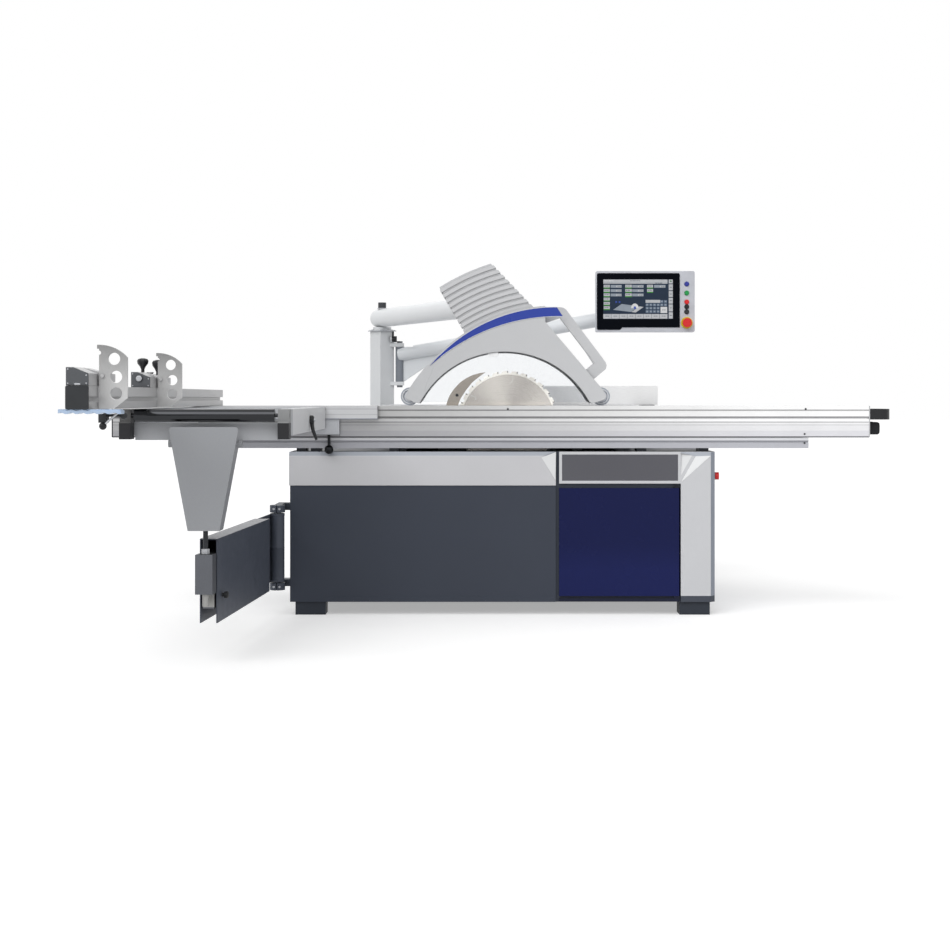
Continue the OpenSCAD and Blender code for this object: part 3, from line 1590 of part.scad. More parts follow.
// Extraction boom: a level tube from the column to the collar that guides the hood's mast
module guard_boom() {
  to = mast_at - column_at;
  span = norm(to);
  turn = atan2(to.y, to.x);
  low = boom_z - boom_d / 2;
  side = mast_s + 2 * collar_side;
  color(light_grey) difference() {
    union() {
      translate([column_at.x, column_at.y, boom_z]) rotate([0, 0, turn]) difference() {
        translate([-boom_back - boom_d / 3, 0, 0]) rotate([0, 90, 0]) rotate_extrude() intersection() {
          translate([-boom_d / 2, 0]) rounded(boom_d, 2 * span, boom_d / 3);
          square([boom_d, span + boom_back + boom_d / 3]);
        }
        translate([bolt_d + boom_wall, 0, 0]) rod_x(span - bolt_d, boom_d - 8 * boom_wall);
      }
      translate([mast_at.x - side / 2, mast_at.y - side / 2, low + 2 * boom_wall])
        cube([side, side, boom_d - 4 * boom_wall]);
    }
    translate([column_at.x, column_at.y, low - over]) cylinder(h = boom_d + 2 * over, d = bolt_d + 2 * fit);
    translate([mast_at.x - mast_s / 2 - gap, mast_at.y - mast_s / 2 - gap, low - over])
      cube([mast_s + 2 * gap, mast_s + 2 * gap, boom_d + 2 * over]);
    translate([mast_at.x - side, hood_y, low - over]) cube([2 * side, mast_at.y - side / 2 - hood_y,
        boom_d + 2 * over]);
  }
}

// Values of the control panel and its arm
panel_fore = 456;
panel_x = blade_x + panel_fore;
panel_back = 900;
panel_y = blade_y + panel_back;
panel_up = 363;
panel_z = table_z + panel_up;
panel_r = 8;
root_up = 264;
arm_root = [column_at.x + lug_reach, column_at.y, table_z + root_up];
tip_in = 215;
tip_back = 100;
tip_up = 100;
arm_tip = [panel_x + tip_in, panel_y + tip_back, panel_z + tip_up];
barrel_d = 46;
arm_wall = 4;
gusset_l = 300;
gusset_t = 10;
socket_d = 64;
socket_h = 60;
panel_pin_d = 20;
panel_lug_t = 24;
panel_lug_w = 50;
glass_t = 3;
glass_side = 5;
glass_low = 11;
glass_step = 12;
glass_w = 414;
glass_h = 283;
strip_in = 40;
button_out = 7;
button_in = 8;
button_bore = 14;
button_shares = [0.787, 0.639, 0.492, 0.413, 0.331];
button_zs = panel_h * button_shares;
stop_z = 46;
stop_stem_d = 22;
stop_out = 30;
stop_cap = 16;
ring_d = 58;
ring_t = 4;

// Rising tube between the column's hinge barrel and the panel's socket, with a gusset
module panel_arm() {
  to = arm_tip - arm_root;
  flat = norm([to.x, to.y]);
  turn = atan2(to.y, to.x);
  tilt = atan2(to.z, flat);
  low = lug_z[0] + lug_t + gap;
  high = lug_z[1] - gap;
  color(light_grey) difference() {
    union() {
      translate([arm_root.x, arm_root.y, low]) cylinder(h = high - low, d = barrel_d);
      translate(arm_root) rotate([0, -tilt, turn]) difference() {
        rod_x(norm(to), panel_arm_d);
        translate([barrel_d, 0, 0]) rod_x(norm(to) - barrel_d - socket_d, panel_arm_d - 2 * arm_wall);
      }
      translate([arm_tip.x, arm_tip.y, arm_tip.z - socket_h / 2]) cylinder(h = socket_h, d = socket_d);
      translate([arm_root.x, arm_root.y, 0]) rotate([0, 0, turn]) translate([0, -gusset_t / 2, 0])
          along_y(gusset_t)
        polygon([[0, low], [barrel_d / 2, low], [gusset_l, arm_root.z + gusset_l * tan(tilt)
            - panel_arm_d / 4],
                 [0, arm_root.z]]);
    }
    translate([arm_root.x, arm_root.y, low - panel_arm_d]) cylinder(h = high - low + 2 * panel_arm_d,
        d = bolt_d + 2 * fit);
    translate([arm_root.x - panel_arm_d, arm_root.y - panel_arm_d, high])
      cube([2 * panel_arm_d, 2 * panel_arm_d, panel_arm_d]);
    translate([arm_tip.x, arm_tip.y, arm_tip.z - socket_h]) cylinder(h = 2 * socket_h,
        d = panel_pin_d + 2 * fit);
    for (z = [arm_tip.z + socket_h / 2, arm_tip.z - socket_h * 3 / 2])
      translate([arm_tip.x - socket_d, arm_tip.y - socket_d, z]) cube([2 * socket_d, 2 * socket_d,
          socket_h]);
  }
}

// Housing with its button bores, and the yoke and pin behind it
module panel_housing() {
  back_y = panel_y + panel_t;
  strip_x = panel_x + panel_w - strip_in;
  color(light_grey) {
    difference() {
      rounded_plate([panel_x, panel_y, panel_z], panel_w, panel_h, panel_t, panel_r);
      for (z = button_zs) translate([strip_x, panel_y - over, panel_z + z]) rod_y(button_bore + over,
          button_d + 2 * fit);
      translate([strip_x, panel_y - over, panel_z + stop_z]) rod_y(button_bore + over,
          stop_stem_d + 2 * fit);
    }
    for (z = [arm_tip.z - socket_h / 2 - gap - panel_lug_t, arm_tip.z + socket_h / 2 + gap])
      box([arm_tip.x - panel_lug_w / 2, back_y, z], [panel_lug_w, arm_tip.y - back_y + panel_lug_w / 2,
          panel_lug_t]);
    translate([arm_tip.x, arm_tip.y, arm_tip.z - socket_h / 2 - panel_lug_t])
      cylinder(h = socket_h + 2 * panel_lug_t, d = panel_pin_d);
  }
}

// Cover glass; its foot is cut back to the right of a slanted step
module panel_glass() {
  step_x = panel_x + glass_side + glass_w / 4;
  color(black) difference() {
    rounded_plate([panel_x + glass_side, panel_y - glass_t, panel_z + glass_low], glass_w, glass_h, glass_t, panel_r);
    translate([0, panel_y - glass_t - over, 0]) along_y(glass_t + 2 * over)
      polygon([[step_x, panel_z], [panel_x + panel_w, panel_z], [panel_x + panel_w, panel_z + glass_low + glass_step],
               [step_x + 2 * glass_step, panel_z + glass_low + glass_step]]);
  }
}

module button(z) {
  translate([panel_x + panel_w - strip_in, panel_y - button_out, panel_z + z])
      rod_y(button_out + button_in, button_d);
}

module green_button() {
  color(green) button(button_zs[1]);
}

module red_button() {
  color(red) button(button_zs[2]);
}

// Round selector with a grip bar
module selector() {
  color(black) {
    button(button_zs[3]);
    box([panel_x + panel_w - strip_in - button_d / 8, panel_y - 2 * button_out,
        panel_z + button_zs[3] - button_d / 2 + over],
        [button_d / 4, button_out + over, button_d - 2 * over]);
  }
}

// Fixed lamp, key switch and the ring round the emergency stop
module panel_lamps() {
  strip_x = panel_x + panel_w - strip_in;
  color(blue) button(button_zs[0]);
  color(black) button(button_zs[4]);
  color(yellow) translate([strip_x, panel_y - ring_t, panel_z + stop_z]) rotate([-90, 0, 0]) tube(ring_t,
      ring_d, stop_stem_d + 2 * gap);
}

module emergency_stop() {
  strip_x = panel_x + panel_w - strip_in;
  color(red) translate([strip_x, panel_y, panel_z + stop_z]) {
    translate([0, -stop_out, 0]) rod_y(stop_cap, stop_d);
    translate([0, -stop_out, 0]) rod_y(stop_out + button_in, stop_stem_d);
  }
}

// Dark trim of the front: the plate in the light frame, the door's lugs and pins, and the sill
module front_trim() {
  cover_plate();
  door_hinges();
  door_sill();
}

base_cabinet();
feet();
front_panel();
left_cover();
right_cover();
access_door();
front_trim();
side_stop();
sliding_table();
table_ends();
push_handle();
lower_rail();
roller_carriage();
saw_frame();
main_table();
table_insert();
extension_table();
guide_bar();
rip_carriage();
rip_fence();
tilt_frame();
scoring_blade();
rise_slide();
saw_blade();
arbor();
riving_knife();
motor();
motor_pulley();
outrigger_frame();
roller_brackets();
outrigger_roller();
support_leg();
leg_post();
table_clamp();
clamp_lever();
arm_bracket();
swing_arm();
arm_slide();
fence_profile();
fence_fittings();
near_carriage();
far_carriage();
near_stop();
far_stop();
guard_column();
guard_boom();
guard_hood();
guard_band();
guard_window();
extraction_neck();
left_wheel();
right_wheel();
panel_arm();
panel_housing();
panel_glass();
panel_lamps();
green_button();
red_button();
selector();
emergency_stop();
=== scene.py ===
from math import atan2, cos, degrees, dist, pi, radians, sin

import bmesh
import bpy
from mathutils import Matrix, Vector


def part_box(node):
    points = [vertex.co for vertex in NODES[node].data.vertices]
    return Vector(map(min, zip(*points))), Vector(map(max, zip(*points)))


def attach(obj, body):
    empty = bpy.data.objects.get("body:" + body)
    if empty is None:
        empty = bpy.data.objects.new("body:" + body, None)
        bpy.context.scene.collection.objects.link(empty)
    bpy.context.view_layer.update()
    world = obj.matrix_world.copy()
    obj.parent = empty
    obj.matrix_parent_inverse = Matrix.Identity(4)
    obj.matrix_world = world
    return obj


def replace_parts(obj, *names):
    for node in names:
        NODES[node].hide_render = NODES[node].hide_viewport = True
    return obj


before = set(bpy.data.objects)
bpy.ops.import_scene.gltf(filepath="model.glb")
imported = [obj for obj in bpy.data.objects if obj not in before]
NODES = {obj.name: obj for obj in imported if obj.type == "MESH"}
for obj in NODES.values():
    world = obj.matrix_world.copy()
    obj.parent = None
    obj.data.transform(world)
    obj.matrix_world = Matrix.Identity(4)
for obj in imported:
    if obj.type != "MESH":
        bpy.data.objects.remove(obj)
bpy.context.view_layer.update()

MM = 0.001


def srgb(r, g, b):
    """Linear colour of an 8-bit screen colour."""
    def one(v):
        v /= 255
        return v / 12.92 if v <= 0.04045 else ((v + 0.055) / 1.055) ** 2.4
    return (one(r), one(g), one(b), 1.0)


def placed(name, data):
    """New object in the scene."""
    thing = bpy.data.objects.new(name, data)
    bpy.context.scene.collection.objects.link(thing)
    return thing


# Material building blocks

class Mat:
    """A node material round one Principled shader, textured in metres of the frame."""

    def __init__(self, name):
        self.mat = bpy.data.materials.new(name)
        self.mat.use_nodes = True
        self.tree = self.mat.node_tree
        self.bsdf = self.tree.nodes["Principled BSDF"]
        self.place = self.new("ShaderNodeTexCoord").outputs["Object"]
        self.normal = None

    def new(self, kind, **values):
        node = self.tree.nodes.new(kind)
        for key, value in values.items():
            setattr(node, key, value)
        return node

    def link(self, a, b):
        self.tree.links.new(a, b)

    def feed(self, socket, value):
        if isinstance(value, (int, float, tuple)):
            socket.default_value = value
        else:
            self.link(value, socket)

    def set(self, **values):
        for key, value in values.items():
            self.bsdf.inputs[key.replace("_", " ")].default_value = value

    def mapped(self, scale):
        node = self.new("ShaderNodeMapping")
        node.inputs["Scale"].default_value = scale
        self.link(self.place, node.inputs["Vector"])
        return node.outputs["Vector"]

    def noise(self, scale, detail, stretch=(1, 1, 1), rough=0.55, at=None):
        node = self.new("ShaderNodeTexNoise")
        node.inputs["Scale"].default_value = scale
        node.inputs["Detail"].default_value = detail
        node.inputs["Roughness"].default_value = rough
        self.link(at or self.mapped(stretch), node.inputs["Vector"])
        return node.outputs["Fac"]

    def voronoi(self, scale):
        node = self.new("ShaderNodeTexVoronoi")
        node.inputs["Scale"].default_value = scale
        self.link(self.mapped((1, 1, 1)), node.inputs["Vector"])
        return node.outputs["Distance"]

    def span(self, value, low, high, to_low, to_high):
        node = self.new("ShaderNodeMapRange")
        limits = {"From Min": low, "From Max": high, "To Min": to_low, "To Max": to_high}
        for key, number in limits.items():
            node.inputs[key].default_value = number
        self.link(value, node.inputs["Value"])
        return node.outputs["Result"]

    def math(self, how, a, b=None):
        node = self.new("ShaderNodeMath", operation=how)
        self.feed(node.inputs[0], a)
        if b is not None:
            self.feed(node.inputs[1], b)
        return node.outputs[0]

    def mix(self, fac, a, b, how="MIX"):
        node = self.new("ShaderNodeMix", data_type="RGBA", blend_type=how)
        for socket, value in zip((node.inputs[0], node.inputs[6], node.inputs[7]), (fac, a, b)):
            self.feed(socket, value)
        return node.outputs[2]

    def gain(self, colour, *values):
        """A colour times varying values."""
        total = values[0]
        for value in values[1:]:
            total = self.math("MULTIPLY", total, value)
        return self.mix(1.0, colour, total, "MULTIPLY")

    def axis(self, which):
        node = self.new("ShaderNodeSeparateXYZ")
        self.link(self.place, node.inputs[0])
        return node.outputs[which]

    def inside(self, x=None, y=None, z=None):
        """1 inside the given spans of the axes, in millimetres, else 0."""
        total = None
        for which, limits in enumerate((x, y, z)):
            if limits is None:
                continue
            over = self.math("GREATER_THAN", self.axis(which), limits[0] * MM)
            under = self.math("LESS_THAN", self.axis(which), limits[1] * MM)
            both = self.math("MULTIPLY", over, under)
            total = both if total is None else self.math("MULTIPLY", total, both)
        return total

    def radius(self, centre, along):
        """Distance from the line along one axis through a point in millimetres."""
        squares = []
        for which in range(3):
            if which != along:
                off = self.math("SUBTRACT", self.axis(which), centre[which] * MM)
                squares.append(self.math("MULTIPLY", off, off))
        return self.math("SQRT", self.math("ADD", *squares))

    def zoned(self, colour, zones):
        """The 8-bit colour, with others in boxes or round an axis."""
        colour = srgb(*colour)
        for zone, other in zones:
            if "centre" in zone:
                reach = self.radius(zone["centre"], zone["along"])
                mask = self.math("LESS_THAN", reach, zone["within"] * MM)
            else:
                mask = self.inside(**zone)
            colour = self.mix(mask, colour, srgb(*other))
        return colour

    def swept(self, tone, light_sweep):
        """Tone times a slow gradient of painted light and shade: axis, from, to and the gains at
        both.
        """
        return self.gain(tone, self.span(self.axis(light_sweep[0]), *light_sweep[1:])) if light_sweep else tone

    def edge(self, radius):
        """Rounded-edge normal, and how far it leans from the flat one."""
        bevel = self.new("ShaderNodeBevel", samples=4)
        bevel.inputs["Radius"].default_value = radius
        flat = self.new("ShaderNodeNewGeometry").outputs["Normal"]
        dot = self.new("ShaderNodeVectorMath", operation="DOT_PRODUCT")
        self.link(bevel.outputs[0], dot.inputs[0])
        self.link(flat, dot.inputs[1])
        self.normal = bevel.outputs[0]
        return self.span(dot.outputs["Value"], 0.995, 0.9, 0.0, 1.0)

    def crevice_shade(self, distance, depth):
        """1 in the open, less in grooves and corners: painted shade where light falls less, and
        some grime.
        """
        node = self.new("ShaderNodeAmbientOcclusion", samples=6)
        node.inputs["Distance"].default_value = distance
        return self.span(node.outputs["AO"], 0.35, 0.95, 1 - depth, 1.0)

    def bump(self, height, strength, distance):
        node = self.new("ShaderNodeBump")
        node.inputs["Strength"].default_value = strength
        node.inputs["Distance"].default_value = distance
        self.link(height, node.inputs["Height"])
        if self.normal is not None:
            self.link(self.normal, node.inputs["Normal"])
        self.normal = node.outputs[0]

    def done(self, colour, rough=None):
        self.link(colour, self.bsdf.inputs["Base Color"])
        if rough is not None:
            self.link(rough, self.bsdf.inputs["Roughness"])
        if self.normal is not None:
            self.link(self.normal, self.bsdf.inputs["Normal"])
        return self.mat


# Radius of rounded edges, in metres
PAINT_EDGE, FINE_EDGE = 0.002, 0.0012


def powder(name, colour, rough=0.42, peel=0.10, wear=0.3, shine=0.4, fleck=0.0, zones=(),
           crevice_shade_depth=0.25, light_sweep=None):
    """Powder coat: fine orange peel, slow tone drift, faint flecks and paler rubbed edges."""
    m = Mat(name)
    m.set(Specular_IOR_Level=shine)
    edge = m.edge(PAINT_EDGE)
    drift = m.span(m.noise(2.2, 5), 0.3, 0.7, 0.96, 1.03)
    grain = m.span(m.noise(1400, 2), 0.3, 0.7, 1 - fleck, 1 + fleck)
    worn = m.math("MULTIPLY", edge, m.span(m.noise(60, 4), 0.35, 0.8, 0.0, wear))
    paler = m.math("ADD", worn, 1.0)
    # Darker in grooves and corners: painted shade, with some grime
    tone = m.gain(m.zoned(colour, zones), drift, grain, paler, m.crevice_shade(0.02, crevice_shade_depth))
    gloss = m.span(m.noise(9, 6), 0.25, 0.75, rough - 0.06, rough + 0.08)
    m.bump(m.noise(420, 3), peel, 0.0006)
    # A slow gradient of painted light and shade, where one is given
    return m.done(m.swept(tone, light_sweep), gloss)


def plastic(name, colour, rough=0.45, grain=0.25, wear=0.5, shine=0.4, zones=()):
    """Moulded plastic with a fine spark texture and polished edges."""
    m = Mat(name)
    m.set(Specular_IOR_Level=shine)
    edge = m.edge(FINE_EDGE)
    drift = m.span(m.noise(14, 4), 0.3, 0.7, 0.92, 1.08)
    worn = m.math("MULTIPLY", edge, m.span(m.noise(80, 4), 0.3, 0.8, 0.0, wear))
    tone = m.gain(m.zoned(colour, zones), drift, m.math("ADD", worn, 1.0))
    gloss = m.span(m.noise(40, 4), 0.3, 0.7, rough - 0.07, rough + 0.07)
    m.bump(m.voronoi(1500), grain, 0.0003)
    return m.done(tone, gloss)


def metal(name, colour, rough=0.3, lines=(1, 40, 40), scale=60, depth=0.08, wear=0.15,
          drift=0.08, zones=(), about=None, shine=1.0, crevice_shade_depth=0.35, light_sweep=None):
    """Brushed metal: streaks along the axis that lines stretches least, or rings about a point
    with a painted sheen of bright and dark sectors.
    """
    m = Mat(name)
    m.set(Metallic=shine)
    edge = m.edge(FINE_EDGE)
    at, sector_sheen = None, 1.0
    if about:
        join = m.new("ShaderNodeCombineXYZ")
        m.link(m.radius(about, 1), join.inputs[0])
        at = join.outputs[0]
        off_x, off_z = [m.math("SUBTRACT", m.axis(k), about[k] * MM) for k in (0, 2)]
        # Painted sheen: four bright and four dark sectors round the point, as the brushed rings
        # catch the light
        turn = m.math("ARCTAN2", off_z, off_x)
        sector_sheen = m.span(m.math("SINE", m.math("MULTIPLY", turn, 4.0)), -1.0, 1.0, 0.82, 1.12)
    streak = m.noise(scale, 5, lines, 0.6, at)
    cloud = m.span(m.noise(3.5, 4), 0.3, 0.7, 0.95, 1.03)
    lined = m.span(streak, 0.3, 0.7, 1 - drift, 1 + drift)
    worn = m.math("ADD", m.math("MULTIPLY", edge, wear), 1.0)
    # Darker in grooves and corners: painted shade, with some grime
    tone = m.gain(m.zoned(colour, zones), cloud, lined, worn, sector_sheen, m.crevice_shade(0.012, crevice_shade_depth))
    gloss = m.span(streak, 0.25, 0.75, rough - 0.07, rough + 0.1)
    m.bump(streak, depth, 0.0004)
    # A slow gradient of painted light and shade, where one is given
    return m.done(m.swept(tone, light_sweep), gloss)


def clear_sheet():
    """Clear polycarbonate, a little hazed by dust and fine scratches."""
    m = Mat("clear_sheet")
    m.set(Transmission_Weight=1.0, IOR=1.2, Alpha=0.3)
    haze = m.span(m.noise(6, 6), 0.3, 0.75, 0.05, 0.22)
    tone = m.gain(srgb(240, 243, 246), m.span(m.noise(90, 3, (1, 8, 1)), 0.4, 0.7, 1.0, 0.92))
    m.bump(m.noise(300, 2, (1, 1, 12)), 0.02, 0.0002)
    return m.done(tone, haze)


def screen_glass():
    """Black cover glass with a faint smear of fingerprints in its gloss."""
    m = Mat("screen_glass")
    m.set(Specular_IOR_Level=0.03)
    smear = m.span(m.noise(28, 6, (1, 1, 2)), 0.42, 0.7, 0.06, 0.2)
    tone = m.gain(srgb(4, 7, 15), m.span(m.noise(5, 3), 0.3, 0.7, 0.85, 1.15))
    return m.done(tone, smear)


def screen_light(name, colour):
    """Lit display: fine pixel rows over a colour that glows a little."""
    m = Mat(name)
    m.set(Specular_IOR_Level=0.1, Roughness=0.3, Emission_Strength=0.28)
    row = m.math("FRACT", m.math("MULTIPLY", m.axis(2), 1100.0))
    rows, drift = m.span(row, 0.0, 1.0, 0.9, 1.06), m.span(m.noise(30, 2), 0.3, 0.7, 0.95, 1.05)
    m.link(m.gain(colour, rows, drift), m.bsdf.inputs["Emission Color"])
    dim = tuple(v * 0.55 for v in colour[:3]) + (1.0,)
    return m.done(m.gain(dim, rows, drift))


# Colours with several uses, in 8 bits
SLATE = (60, 65, 76)
BLACK = (27, 28, 31)
DARK = (50, 52, 57)
LAMP_BLUE = (38, 50, 150)
GLIDE = (176, 196, 222)

# Ways in which metal is brushed or drawn
ALONG_X = (1, 60, 60)
ALONG_Y = (60, 1, 60)

# Places in the frame, in millimetres
BLADE_AT = (29, -55, 814)
LEFT_WHEEL = (-409, -20, 925.5)
RIGHT_WHEEL = (445, -20, 925.5)
PANEL_HINGE = (-520, 1375, 0)
GUIDE_BAR = (690, 0, 835)
COLUMN_AT = (-614, 1375)
COLUMN_TURN = radians(40)
CABINET_BACK = 425.0
PANEL_BACK = 900.0
COVER_FRONT = -425
# Y of the hood's two cheeks, and which way each faces
HOOD_FACES = ((-110, -1), (70, 1))

# Painted light and shade on the table's and the rail's fronts, from the top down: lit and shaded
# bands of the machined profile, darker lines of painted shade in its grooves, and a painted shadow
# along the table's bottom edge
TABLE_LIGHT_BANDS = [({"z": heights}, colour) for heights, colour in (
    ((864.5, 869.5), (156, 156, 157)), ((842, 864.5), (226, 226, 226)),
    ((834.5, 840.5), (140, 140, 142)), ((818.5, 834.5), (234, 234, 235)),
    ((814.5, 818.5), (156, 156, 158)), ((806, 814.5), (216, 216, 217)),
    ((802.5, 806), (190, 190, 192)), ((780, 802.5), (212, 212, 214)),
    ((756.5, 780), (202, 202, 206)), ((750, 756.5), (112, 112, 116)))]
RAIL_LIGHT_BANDS = [({"z": (738.5, 760)}, (224, 225, 229)), ({"z": (734.5, 738.5)}, (146, 147, 155))]
# Painted light: axis, from, to and the gains of the tone there, brighter to the right where more
# light falls
TABLE_LIGHT_SWEEP = (0, -0.45, 1.15, 0.56, 1.08)
RAIL_LIGHT_SWEEP = (0, -0.45, 1.15, 0.6, 0.82)
# The outrigger's inner beam, with darker lines of painted shade along its grooves, and its paler
# right side beam
INNER_BEAM = (-490, -420)
BEAM_ZONES = [({"y": INNER_BEAM}, (203, 204, 206)),
              ({"y": INNER_BEAM, "z": (870, 874)}, (184, 184, 187)),
              ({"y": INNER_BEAM, "z": (847, 851)}, (186, 187, 190)),
              ({"y": INNER_BEAM, "z": (826, 833)}, (150, 153, 163)),
              ({"x": (-816, -700), "y": (-1700, -491)}, (216, 217, 219))]


def tyre(name, centre):
    """Grey wheel: the tread outside, a pale rim and a darker hub."""
    rings = ((34, (226, 228, 231)), (29, (164, 170, 181)), (25, (222, 224, 228)),
             (11, (150, 154, 162)))
    zones = [({"centre": centre, "along": 1, "within": r}, colour) for r, colour in rings]
    return plastic(name, (168, 174, 184), 0.5, grain=0.3, zones=zones)


